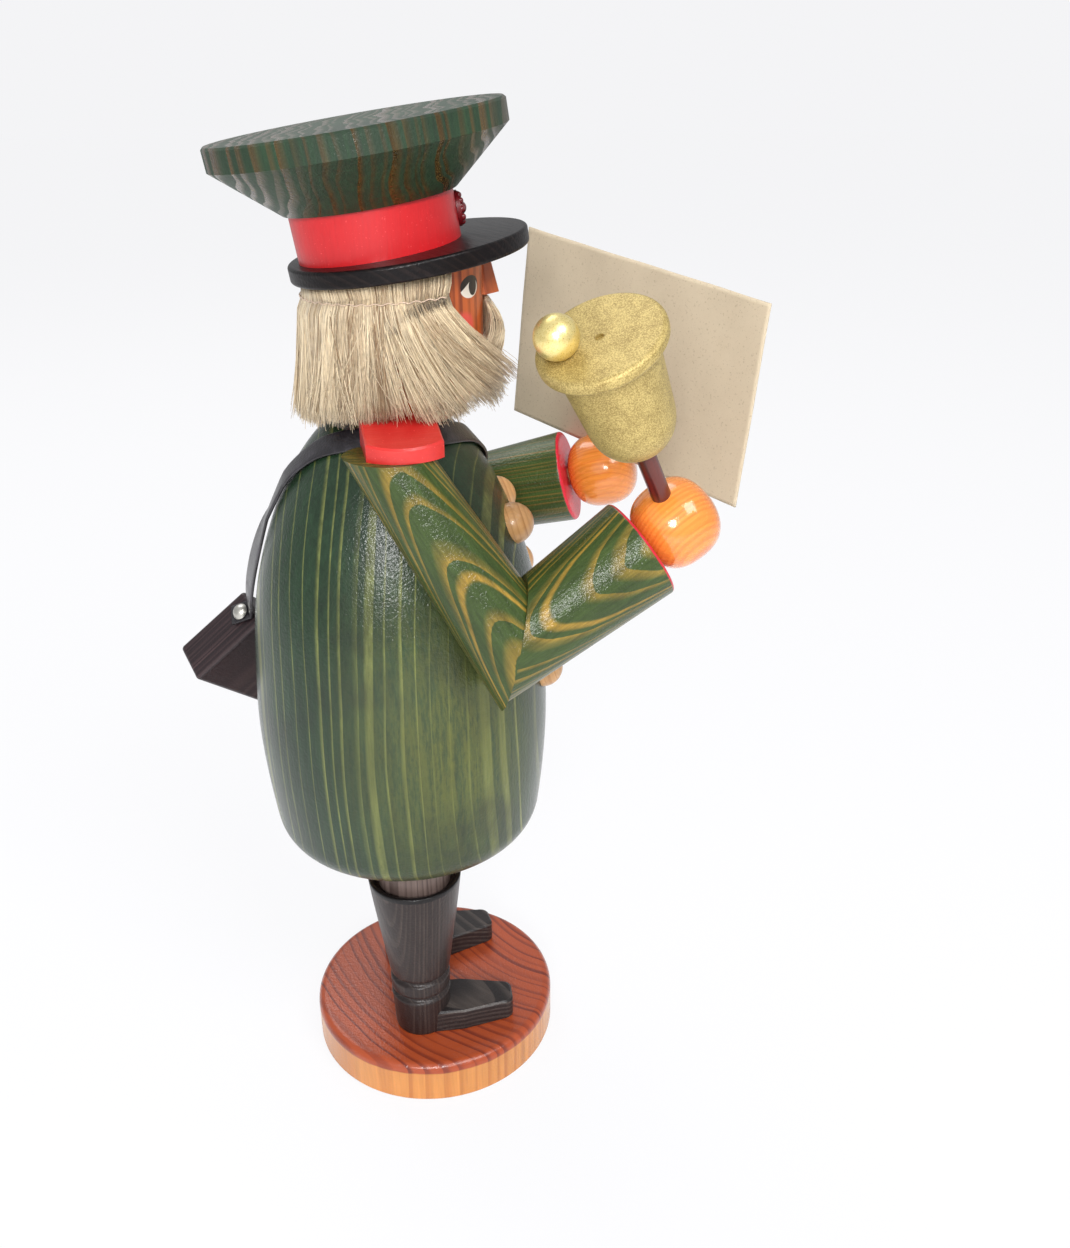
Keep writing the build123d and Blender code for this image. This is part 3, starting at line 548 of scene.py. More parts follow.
@dataclass(frozen=True)
class Oval:
    """A painted oval: its middle and half sizes round the face and up it, and its soft edge."""

    arc: float
    height: float
    half_arc: float
    half_height: float
    colour: Colour
    soft: float = 0.04
    strength: float = 1.0

    def inside(self, net: Network, arc: Socket, height: Socket) -> Socket:
        """The strength inside the ellipse and 0 outside it, fading over a share of its size.

        Args:
            net: The material's nodes.
            arc: The arc length round the head.
            height: The height.

        Returns:
            The strength.
        """
        across = net.math("DIVIDE", net.minus(arc, self.arc), self.half_arc)
        up = net.math("DIVIDE", net.minus(height, self.height), self.half_height)
        return net.ramp(net.radius(across, up), 1.0 + self.soft, 1.0 - self.soft, self.strength)


@dataclass(frozen=True)
class FaceFinish(WoodFinish):
    """Stained face wood with painted eyes and cheeks.

    A place on the face is given by the arc length round the head from the front, on the head's
    own radius, and by its height, so a painted oval is an ellipse in those two numbers.
    """

    head_radius: float = 0.019
    cheek: Oval = Oval(0.0160, 0.2042, 0.0035, 0.0031, shade(226, 78, 72), 0.28, 0.85)
    lash: Oval = Oval(EYE_ARC, EYE_HEIGHT + 0.0003, 0.0036, 0.0022, shade(28, 22, 22))
    white: Oval = Oval(EYE_ARC + 0.0001, EYE_HEIGHT - 0.0002, 0.0034, 0.0020, shade(236, 228, 214))
    pupil: Oval = Oval(EYE_ARC - 0.0011, EYE_HEIGHT + 0.0001, 0.0017, 0.0019, shade(24, 20, 22))
    lid_slope: float = 0.55
    lid_rise: float = 0.0014
    lid_soft: float = 0.0002

    def painted(self, net: Network, wood: Socket, late: Socket, fibres: Socket) -> Socket:
        """Lay cheek, lash line, eye white and pupil in turn, with a slanted lid over the white."""
        x, y, z = net.split(net.place)
        turn = net.math("ARCTAN2", net.math("ABSOLUTE", x), net.minus(HEAD_BACK, y))
        arc = net.times(turn, self.head_radius)
        slant = net.line(net.minus(arc, EYE_ARC), self.lid_slope, z)
        lid_height = EYE_HEIGHT + self.lid_rise
        lid = net.ramp(slant, lid_height, lid_height - self.lid_soft)
        colour = wood
        for oval in (self.cheek, self.lash, self.white, self.pupil):
            share = oval.inside(net, arc, z)
            if oval is self.white:
                share = net.times(share, lid)
            colour = net.mix(share, colour, oval.colour)
        return colour


@dataclass(frozen=True)
class PaintFinish(Finish):
    """Opaque paint over wood, through which a little of the grain still shows."""

    colour: Colour
    dark: Colour
    along: Point = UP
    rough: float = 0.36
    coat: float = 0.25
    coat_rough: float = 0.2
    specks: float = 0.5
    dark_share: float = 0.55
    relief: float = 0.00004
    fibre_noise: Noise = Noise(1500.0, 3.0, 0.6, 20.0)
    speck_noise: Noise = Noise(2100.0, 1.0)
    brush_noise: Noise = Noise(900.0)

    def lay(self, net: Network) -> None:
        """Paint with faint fibres, small pale specks and brushed-on relief."""
        fibres = net.noise(self.fibre_noise, net.mapped(ORIGIN, self.along, self.fibre_noise.stretch))
        colour = net.mix(net.times(fibres, self.dark_share), self.colour, self.dark)
        pale = tuple(min(1.0, value * 1.5 + 0.12) for value in self.colour)
        colour = net.mix(net.ramp(net.noise(self.speck_noise), 0.70, 0.78, self.specks), colour, pale)
        net.cover(colour, net.vary(fibres, self.rough, 0.1), self.coat, self.coat_rough)
        net.raise_surface(net.plus(fibres, net.noise(self.brush_noise)), self.relief)


@dataclass(frozen=True)
class GoldFinish(Finish):
    """Metallic paint: mottled and dull on the bell, bright and crinkled on its ball."""

    bright: Colour
    dull: Colour
    metal: float
    rough: float
    crinkle: float
    patch_share: float = 0.35
    flake_noise: Noise = Noise(3200.0, 2.0, 0.7)
    patch_noise: Noise = Noise(260.0, 3.0, 0.6)
    crinkle_noise: Noise = Noise(620.0, 3.0)

    def lay(self, net: Network) -> None:
        """Mix bright flakes into duller paint by a fine noise and a slow one."""
        flakes, patches = net.noise(self.flake_noise), net.noise(self.patch_noise)
        share = net.ramp(net.line(patches, self.patch_share, flakes), 0.45, 0.9)
        colour = net.mix(share, self.dull, self.bright)
        net.cover(colour, net.vary(flakes, self.rough, 0.15), Metallic=self.metal)
        net.raise_surface(net.plus(net.noise(self.crinkle_noise), flakes), self.crinkle)


@dataclass(frozen=True)
class BristleFinish(Finish):
    """Natural bristle whose tone is kept on each strand as an attribute."""

    dark: Colour
    pale: Colour
    rough: float = 0.42
    sheen: float = 0.15
    fine_noise: Noise = Noise(900.0)
    fine_share: float = 0.35

    def lay(self, net: Network) -> None:
        """Blend from dark to pale by the strand's own tone, which a fine noise moves a little."""
        tone = net.add("Attribute")
        tone.attribute_name = "tone"
        fine = net.minus(net.noise(self.fine_noise), 0.5)
        share = net.line(fine, self.fine_share, tone.outputs["Fac"])
        net.cover(net.mix(share, self.dark, self.pale), self.rough, Sheen_Weight=self.sheen)


@dataclass(frozen=True)
class PaperFinish(Finish):
    """Recycled card with fibres and specks."""

    colour: Colour
    dark: Colour
    rough: float = 0.82
    relief: float = 0.00003
    flecks: Range = (0.60, 0.70, 0.42)
    mottle_share: float = 0.25
    cloud_noise: Noise = Noise(220.0, 4.0, 0.65)
    fleck_noise: Noise = Noise(1700.0, 2.0, 0.6)
    fine_noise: Noise = Noise(4200.0, 2.0, 0.7)

    def lay(self, net: Network) -> None:
        """Fine mottling with scattered darker flecks."""
        cloud, fine = net.noise(self.cloud_noise), net.noise(self.fine_noise)
        share = net.line(cloud, self.mottle_share, net.ramp(net.noise(self.fleck_noise), *self.flecks))
        share = net.line(fine, self.mottle_share, share)
        net.cover(net.mix(share, self.colour, self.dark), self.rough)
        net.raise_surface(net.plus(fine, cloud), self.relief)


@dataclass(frozen=True)
class LeatherFinish(Finish):
    """Smooth coated leather with a fine pebble."""

    colour: Colour
    worn: Colour
    rough: float = 0.38
    coat: float = 0.2
    coat_rough: float = 0.25
    worn_share: float = 0.6
    pebble_scale: float = 1900.0
    relief: float = 0.00005
    wear_noise: Noise = Noise(160.0, 4.0, 0.6)

    def lay(self, net: Network) -> None:
        """Small round cells for the pebble, and paler patches where it is worn."""
        cells = net.fill(net.add("TexVoronoi"), Vector=net.place, Scale=self.pebble_scale)
        wear = net.ramp(net.noise(self.wear_noise), 0.45, 0.75)
        colour = net.mix(net.times(wear, self.worn_share), self.colour, self.worn)
        net.cover(colour, net.vary(wear, self.rough, 0.1), self.coat, self.coat_rough)
        net.raise_surface(cells.outputs["Distance"], self.relief)


@dataclass(frozen=True)
class TinFinish(Finish):
    """Bare sheet metal or a tack head."""

    colour: Colour
    rough: float = 0.37
    metal: float = 0.9
    relief: float = 0.00003
    dark_share: float = 0.6
    scratch_way: Point = (0.6, 0.5, 0.6)
    scratch_noise: Noise = Noise(1800.0, 3.0, stretch=14.0)
    dull_noise: Noise = Noise(500.0, 3.0)

    def lay(self, net: Network) -> None:
        """Slightly scratched metal with dull patches."""
        along = net.mapped(ORIGIN, self.scratch_way, self.scratch_noise.stretch)
        scratches = net.noise(self.scratch_noise, along)
        dark = tuple(value * 0.55 for value in self.colour)
        colour = net.mix(net.times(net.noise(self.dull_noise), self.dark_share), self.colour, dark)
        net.cover(colour, net.vary(scratches, self.rough, 0.15), Metallic=self.metal)
        net.raise_surface(scratches, self.relief)


def dress(finish: Finish, *nodes: str) -> None:
    """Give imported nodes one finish."""
    material = finish.material()
    for node in nodes:
        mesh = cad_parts[node].data
        mesh.materials.clear()
        mesh.materials.append(material)
        LOG.info("dressed %s with %s", node, material.name)


def tube_faces(shape: tuple[int, ...]) -> list[list[int]]:
    """The faces of closed tubes: quads between neighbouring rings, and a face over each end.

    Args:
        shape: Rings of a tube and points of a ring, after the number of tubes if there are several.

    Returns:
        Point numbers, one face a row.
    """
    index = np.arange(np.prod(shape)).reshape(-1, *shape[-2:])
    low, high = index[:, :-1], index[:, 1:]
    walls = np.stack([low, np.roll(low, -1, 2), np.roll(high, -1, 2), high], axis=-1).reshape(-1, 4)
    return walls.tolist() + index[:, 0, ::-1].tolist() + index[:, -1].tolist()


def add_piece(name: str, points: Array, material: Material, body: str,
              nodes: tuple[str, ...] = (), faces: list[list[int]] | None = None,
              flat: bool = False) -> bpy.types.Object:
    """Make a mesh piece that rides on a body.

    Args:
        name: The piece's name.
        points: Places, as rings of points by 3, or as tubes of rings of points by 3.
        material: Its finish.
        body: The body it rides on.
        nodes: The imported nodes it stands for.
        faces: Point numbers, one face a row, where the points aren't closed tubes.
        flat: Whether its faces are shaded flat.

    Returns:
        The new object.
    """
    mesh = bpy.data.meshes.new(name)
    mesh.from_pydata(points.reshape(-1, 3).tolist(), [], faces or tube_faces(points.shape[:-1]))
    mesh.polygons.foreach_set("use_smooth", np.full(len(mesh.polygons), not flat))
    mesh.materials.append(material)
    mesh.update()
    piece = bpy.data.objects.new(name, mesh)
    bpy.context.scene.collection.objects.link(piece)
    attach(piece, body)
    if nodes:
        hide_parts(*nodes)
    LOG.info("made %s with %d faces", name, len(mesh.polygons))
    return piece


def unit(vectors: Array) -> Array:
    """Vectors of length 1 that point the same ways."""
    return vectors / np.linalg.norm(vectors, axis=-1, keepdims=True)


def smooth(value: Array, low: float, high: float) -> Array:
    """0 below low, 1 above high, and 3t squared minus 2t cubed between them."""
    share = np.clip((value - low) / (high - low), 0.0, 1.0)
    return share * share * (3 - 2 * share)


def smoothed(values: Array, width: int) -> Array:
    """Running means over a width of so many values, weighted by a Hann window."""
    window = np.hanning(width)
    return np.convolve(values, window / window.sum(), mode="valid")


def spun(outline: Array, origin: Point, way: Point, around: int = 96) -> Array:
    """Turn an outline about a line.

    A point is the origin plus its height along the line, plus its radius times the cosine and
    sine of a turn along two directions square to the line.

    Args:
        outline: Radii and heights in metres, one row each.
        origin: Where the line starts.
        way: The line's direction.
        around: Points round a ring.

    Returns:
        The points, ring by ring.
    """
    axis = np.array(Vector(way).normalized())
    out = np.array(Vector(way).orthogonal().normalized())
    turns = np.arange(around) * 2 * np.pi / around
    ring = np.cos(turns)[:, None] * out + np.sin(turns)[:, None] * np.cross(axis, out)
    return np.array(origin) + outline[:, None, 1:] * axis + outline[:, None, :1] * ring


def tubes(paths: Array, widths: Array, sides: int = 3) -> Array:
    """Thin tubes along many paths at once.

    At each point of a path a ring of corners stands square to the path: the point, plus the
    tube's radius there times the cosine and sine of each corner's turn along two directions
    that are square to the path.

    Args:
        paths: Places, as strand by step by 3.
        widths: Radii, as strand by step.
        sides: Corners of a ring.

    Returns:
        The points, as strand by step by corner by 3.
    """
    along = unit(np.gradient(paths, axis=1))
    out = unit(np.cross(along, np.array([0.31, 0.23, 0.92])))
    across = np.cross(along, out)
    turns = np.arange(sides) * 2 * np.pi / sides
    ring = out[:, :, None] * np.cos(turns)[:, None] + across[:, :, None] * np.sin(turns)[:, None]
    return paths[:, :, None] + ring * widths[:, :, None, None]


def add_strands(name: str, paths: Array, widths: Array, tones: Array, material: Material,
                nodes: tuple[str, ...] = ()) -> None:
    """Make one piece of many thin strands, each with its own tone.

    Args:
        name: The piece's name.
        paths: Places, as strand by step by 3.
        widths: Radii, as strand by step.
        tones: A tone from 0 to 1 for each strand.
        material: Its finish.
        nodes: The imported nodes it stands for.
    """
    points = tubes(paths, widths)
    piece = add_piece(name, points, material, "coat", nodes)
    tone = piece.data.attributes.new("tone", "FLOAT", "POINT")
    tone.data.foreach_set("value", np.repeat(tones, points[0, ..., 0].size).astype(np.float32))


@dataclass
class Stand:
    """Base plate, shoes, boots, legs and the disc that closes the coat."""

    stain_foot: float = 0.0098
    boot_mouth: float = 0.0618
    base_top: float = 0.0122
    boot_out: float = 0.0143
    boot_back: float = 0.0056
    boot_outline: tuple[tuple[float, float], ...] = (
        (0.2, 0.0), (6.9, 0.0), (7.3, 0.2), (7.5, 0.8), (7.8, 7.0), (8.0, 10.6), (8.1, 11.4),
        (8.1, 11.9), (7.7, 12.1), (7.25, 12.5), (7.15, 12.9), (7.25, 13.3), (7.7, 13.7), (8.1, 13.9),
        (8.15, 14.4), (8.15, 17.0), (8.1, 17.4), (7.7, 17.6), (7.25, 18.0), (7.15, 18.4),
        (7.25, 18.8), (7.7, 19.2), (8.1, 19.4), (8.2, 20.0), (8.6, 22.4), (9.25, 27.4), (9.97, 32.4),
        (10.7, 37.8), (11.35, 42.6), (11.95, 47.4), (12.2, 49.7), (12.28, 50.4), (12.2, 50.7),
        (11.95, 50.8), (11.3, 50.8), (11.05, 50.6), (10.9, 50.1), (10.7, 48.9), (0.2, 48.8))
    shoe_length: float = 0.0254
    shoe_straight: float = 0.0115
    shoe_width: float = 0.0133
    shoe_toe_width: float = 0.0088
    shoe_toe_round: float = 0.0026
    shoe_heights: tuple[float, float] = (0.0071, 0.0062)
    shoe_edge: float = 0.0005
    sole_inset: float = 0.0002
    sole_share: float = 0.06
    shoe_splay: float = radians(5.0)

    def heel(self, side: Side) -> Point:
        """The middle of a boot's underside, on the base plate."""
        return side.value * self.boot_out, self.boot_back, self.base_top

    def boot(self, side: Side, material: Material) -> None:
        """Spin the boot's outline: heel, two ankle grooves, a flared shaft and its mouth.

        Args:
            side: The boot's side.
            material: Its finish.
        """
        name = side.name.lower() + "_boot"
        points = spun(np.array(self.boot_outline) * MM, self.heel(side), UP)
        add_piece("turned_" + name, points, material, "stand", (name,))

    def shoe_plan(self, inset: float) -> Array:
        """The shoe's outline seen from above, with rounded toe corners, moved in by an inset.

        Args:
            inset: How far it is moved in.

        Returns:
            Its corners from one end of the heel to the other, one row each.
        """
        heel, toe = self.shoe_width / 2 - inset, self.shoe_toe_width / 2 - inset
        bend = self.shoe_toe_round
        turns = np.linspace(0.0, np.pi / 2, 9)
        front = -self.shoe_length + inset
        corner = np.stack([toe - bend + bend * np.cos(turns), front + bend - bend * np.sin(turns)], axis=1)
        half = np.concatenate([[[heel, 0.0], [heel, -self.shoe_straight]], corner])
        return np.concatenate([half * (-1.0, 1.0), half[::-1]])

    def shoe(self, side: Side, material: Material) -> None:
        """Stack the outline at the sole, under the bevel and on top, falling towards the toe.

        Args:
            side: The shoe's side.
            material: Its finish.
        """
        high, low = self.shoe_heights
        bevel = 1.0 - self.shoe_edge / high
        levels = ((0.0, self.sole_inset), (self.sole_share, 0.0), (bevel, 0.0), (1.0, self.shoe_edge))
        rings = []
        for share, inset in levels:
            plan = self.shoe_plan(inset)
            height = (high + (low - high) * -plan[:, 1] / self.shoe_length) * share
            rings.append(np.column_stack([plan, height]))
        turn = side.value * self.shoe_splay
        swing = np.array(((cos(turn), -sin(turn), 0.0), (sin(turn), cos(turn), 0.0), UP))
        points = np.array(rings) @ swing.T + self.heel(side)
        name = side.name.lower() + "_shoe"
        add_piece("shaped_" + name, points, material, "stand", (name,), flat=True)

    def foot(self, side: Side) -> None:
        """Make a boot and its shoe, and dress the leg in it.

        Args:
            side: The foot's side.
        """
        name = side.name.lower()
        pith = (side.value * 0.03, 0.02, 0.0)
        boot = BootFinish(
            "boot_" + name, shade(40, 32, 31), shade(60, 50, 46), Grain(pith, (0.02, 0.01, 1.0), 0.0011),
            rough=0.42, coat=0.25, coat_rough=0.1, fibre=0.5, peel=0.0001, specular=0.2,
            mouth=self.boot_mouth, paint=shade(16, 13, 14))
        self.boot(side, boot.material())
        shoe = WoodFinish(
            "shoe_" + name, shade(34, 29, 29), shade(72, 64, 60),
            Grain((side.value * 0.01, 0.0, -0.02), (0.75, 0.65, 0.1), 0.0013),
            rough=0.46, coat=0.2, fibre=0.5, peel=0.00008)
        self.shoe(side, shoe.material())
        leg = WoodFinish(
            "trouser_" + name, shade(108, 92, 86), shade(72, 58, 54), Grain(pith, UP, 0.0012),
            rough=0.5, coat=0.15, fibre=0.35)
        dress(leg, name + "_leg")

    def build(self) -> None:
        """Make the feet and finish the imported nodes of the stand, the dowels and the tacks."""
        base = BaseFinish(
            "base_pine", shade(196, 130, 66), shade(166, 98, 46),
            Grain((0.036, -0.062, 0.0), UP, 0.0027, late_share=0.24, wander_scale=24.0),
            rough=0.34, coat=0.5, coat_rough=0.08, ring_strength=0.75, peel=0.00009,
            stain=shade(168, 74, 37), stain_ring=shade(108, 39, 24), stain_foot=self.stain_foot)
        dress(base, "base_plate")
        for side in Side:
            self.foot(side)
        bare = WoodFinish(
            "plain_wood", shade(214, 182, 136), shade(186, 148, 102), Grain((0.05, 0.0, 0.0), UP, 0.002),
            rough=0.6, coat=0.0)
        dress(bare, "leg_disc", "neck_tube", "cap_dowel", "shoulder_dowels", "wrist_dowels")
        dress(TinFinish("tin", shade(206, 204, 196)), "incense_plate", "plate_nail", "strap_tacks")


@dataclass
class Coat:
    """The coat, its buttons and the shoulder boards."""

    pith: Point = (0.02, 0.115, 0.0)
    lean: Point = (0.0, 0.012, 1.0)
    ring: float = 0.0034
    # Middle of the painted highlight, on the coat's front where the lamps light it.
    painted_highlight: Point = (-0.0355, -0.004, 0.112)

    def build(self) -> None:
        """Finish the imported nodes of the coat's trunk."""
        grain = Grain(
            self.pith, self.lean, self.ring, late_share=0.10, wander=0.0016, wander_scale=30.0,
            rise_share=0.16, uneven=2.2)
        coat = CoatFinish(
            "coat_green", shade(30, 50, 32), shade(118, 122, 66), grain, rough=0.46, coat=0.55,
            coat_rough=0.03, fibre=0.6, blotch=0.4, ring_strength=0.75, peel=0.00015, specular=0.15,
            # The painted highlight's middle, reach and lighter tone stand in for light on the coat's front.
            streaky=0.9, painted_highlight=self.painted_highlight, painted_highlight_reach=0.024, painted_highlight_tone=shade(102, 104, 43),
            smoke_tone=shade(28, 32, 26))
        dress(coat, "coat")
        button = WoodFinish(
            "button_brown", shade(196, 150, 100), shade(168, 118, 72),
            Grain((0.0, 0.03, 0.0), (0.0, 0.3, 1.0), 0.0014), rough=0.4, coat=0.4)
        dress(button, "coat_buttons")
        trim = PaintFinish("board_red", shade(208, 46, 40), shade(172, 24, 28), (0.0, 1.0, 0.0), coat=0.15)
        dress(trim, "right_epaulette", "left_epaulette")


@dataclass
class Arm:
    """One arm: two halves of a tapered stick and a round hand."""

    side: Side
    shoulder: Point
    elbow: Point
    cuff: Point
    facing: Point
    late_tone: Colour
    early_tone: Colour = shade(54, 70, 32)
    pith_depth: float = 0.0150
    tilt: float = 0.068
    spread: float = 0.00105
    hand_pith: Point = (0.02, 0.0, 0.03)
    hand_radius: float = 0.0099
    hand_tip: float = 0.00005
    hand_length: float = 0.0184
    hand_power: float = 2.5

    def stick_grain(self, start: Point, end: Point) -> Grain:
        """Rings whose arches open towards the end: the pith line leans away from the seen side.

        Args:
            start: One end of the stick's middle line.
            end: The other end.

        Returns:
            The grain.
        """
        way = (Vector(end) - Vector(start)).normalized()
        face = Vector(self.facing)
        face = (face - way * face.dot(way)).normalized()
        return Grain(
            tuple(Vector(start) - face * self.pith_depth), tuple((way - face * self.tilt).normalized()),
            self.spread, late_share=0.17, wander=0.0005, wander_scale=70.0, rise_share=0.34)

    def build(self) -> None:
        """Finish both halves, with arches that meet at the elbow, and make the hand."""
        name = self.side.name.lower()
        way = tuple((Vector(self.cuff) - Vector(self.elbow)).normalized())
        upper = SleeveFinish(
            "sleeve_upper_" + name, self.early_tone, self.late_tone,
            self.stick_grain(self.shoulder, self.elbow))
        dress(upper, name + "_upper_arm")
        fore = SleeveFinish(
            "sleeve_fore_" + name, self.early_tone, self.late_tone, self.stick_grain(self.elbow, self.cuff),
            cuff=self.cuff, way=way)
        dress(fore, name + "_forearm")
        pith = tuple(Vector(self.cuff) + Vector(self.hand_pith))
        grain = Grain(pith, way, 0.0011, late_share=0.35)
        hand = WoodFinish(
            "hand_" + name, shade(228, 138, 58), shade(206, 102, 34), grain, rough=0.26, coat=0.9,
            coat_rough=0.04, fibre=0.12, ring_strength=0.6)
        self.hand(way, hand.material())

    def hand(self, way: Point, material: Material) -> None:
        """Spin a bead whose outline is a circle pushed out towards its corners.

        Its radius is the largest radius times (1 - |s| to the power p) to the power 1 over p,
        where s goes from -1 at the cuff to 1 at the far end.

        Args:
            way: The forearm's direction.
            material: The hand's finish.
        """
        share = np.sin(np.linspace(-np.pi / 2, np.pi / 2, 49))
        radius = np.maximum(1.0 - np.abs(share) ** self.hand_power, 0.0) ** (1.0 / self.hand_power)
        height = (share + 1.0) * self.hand_length / 2
        outline = np.stack([np.maximum(radius * self.hand_radius, self.hand_tip), height], axis=1)
        name = self.side.name.lower() + "_hand"
        add_piece("bead_" + name, spun(outline, self.cuff, way), material, "coat", (name,))


@dataclass
class Bell:
    """The bell, its ball and its handle."""

    handle_pith: Point = (-0.03, -0.05, 0.17)
    handle_way: Point = (0.31, -0.43, -0.85)

    def build(self) -> None:
        """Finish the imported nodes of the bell."""
        gold = GoldFinish("bell_gold", shade(206, 184, 118), shade(140, 118, 62), 0.35, 0.5, 0.00006)
        dress(gold, "bell")
        ball = GoldFinish("ball_gold", shade(246, 228, 160), shade(232, 208, 130), 0.75, 0.32, 0.00003)
        dress(ball, "clapper_ball")
        handle = WoodFinish(
            "handle_brown", shade(92, 34, 26), shade(56, 20, 18),
            Grain(self.handle_pith, self.handle_way, 0.0011), rough=0.34, coat=0.5)
        dress(handle, "bell_handle")


@dataclass
class Head:
    """The head with its painted face and its nose, and the turned pieces of the cap."""

    face_front: float = -0.0186
    nose_foot: float = 0.2092
    nose_height: float = 0.0084
    nose_below: tuple[tuple[float, float], ...] = ((4.0, 2.4), (4.0, -0.5), (0.75, -3.9), (0.3, -4.1))
    nose_above: tuple[tuple[float, float], ...] = ((2.2, 2.4), (2.2, -0.2), (0.7, -1.7), (0.3, -1.9))

    def build(self) -> None:
        """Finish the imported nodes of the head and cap, and make the nose."""
        face = FaceFinish(
            "face_brown", shade(196, 96, 44), shade(136, 58, 26),
            Grain((0.0, 0.06, 0.0), UP, 0.0017, late_share=0.3),
            rough=0.4, coat=0.3, coat_rough=0.2, fibre=0.3)
        dress(face, "head")
        nose = WoodFinish(
            "nose_brown", shade(196, 98, 46), shade(150, 66, 30),
            Grain((0.02, 0.0, 0.2), (0.0, 0.3, 1.0), 0.0017, late_share=0.3),
            rough=0.4, coat=0.3, coat_rough=0.2)
        self.nose(nose.material())
        grain = Grain(
            (-0.02, -0.16, 0.2), (0.0, sin(CAP_LEAN), cos(CAP_LEAN)), 0.0025, late_share=0.3,
            wander=0.0018, wander_scale=60.0, rise_share=0.4, uneven=1.6)
        crown = WoodFinish(
            "cap_green", shade(27, 52, 30), shade(74, 56, 28), grain, rough=0.62, coat=0.12,
            coat_rough=0.05, fibre=0.65, blotch=0.5, ring_strength=0.95, peel=0.00012, specular=0.42,
            streaky=0.9, ring_gloss=0.42)
        dress(crown, "cap_crown")
        visor = WoodFinish(
            "visor_black", shade(15, 11, 12), shade(28, 21, 20),
            Grain((0.0, 0.08, 0.1), (1.0, 0.2, 0.0), 0.0018), rough=0.42, coat=0.15, coat_rough=0.05,
            fibre=0.35, peel=0.00008, specular=0.12)
        dress(visor, "cap_visor")
        dress(PaintFinish("band_red", shade(208, 26, 32), shade(172, 14, 22), coat=0.15), "cap_band")
        badge = PaintFinish(
            "cockade_red", shade(120, 22, 30), shade(70, 8, 14), rough=0.3, coat=0.5, specks=0.1)
        dress(badge, "cockade")

    def nose(self, material: Material) -> None:
        """Join a wide, deep section at the nose's foot to a narrow, shallow one at its root.

        Half a section goes from beside the face to the ridge, in millimetres, and its mirror
        image is the other half. The sections between the two follow straight lines.

        Args:
            material: The nose's finish.
        """
        halves = (np.array(half) * MM for half in (self.nose_below, self.nose_above))
        foot, root = (np.concatenate([half * (-1.0, 1.0), half[::-1]]) for half in halves)
        steps = np.linspace(0.0, 1.0, 9)[:, None]
        plan = foot + (root - foot) * steps[..., None]
        height = np.broadcast_to(self.nose_height * steps, plan.shape[:2])
        points = np.dstack([plan, height]) + (0.0, self.face_front, self.nose_foot)
        add_piece("wedge_nose", points, material, "coat", ("nose",), flat=True)


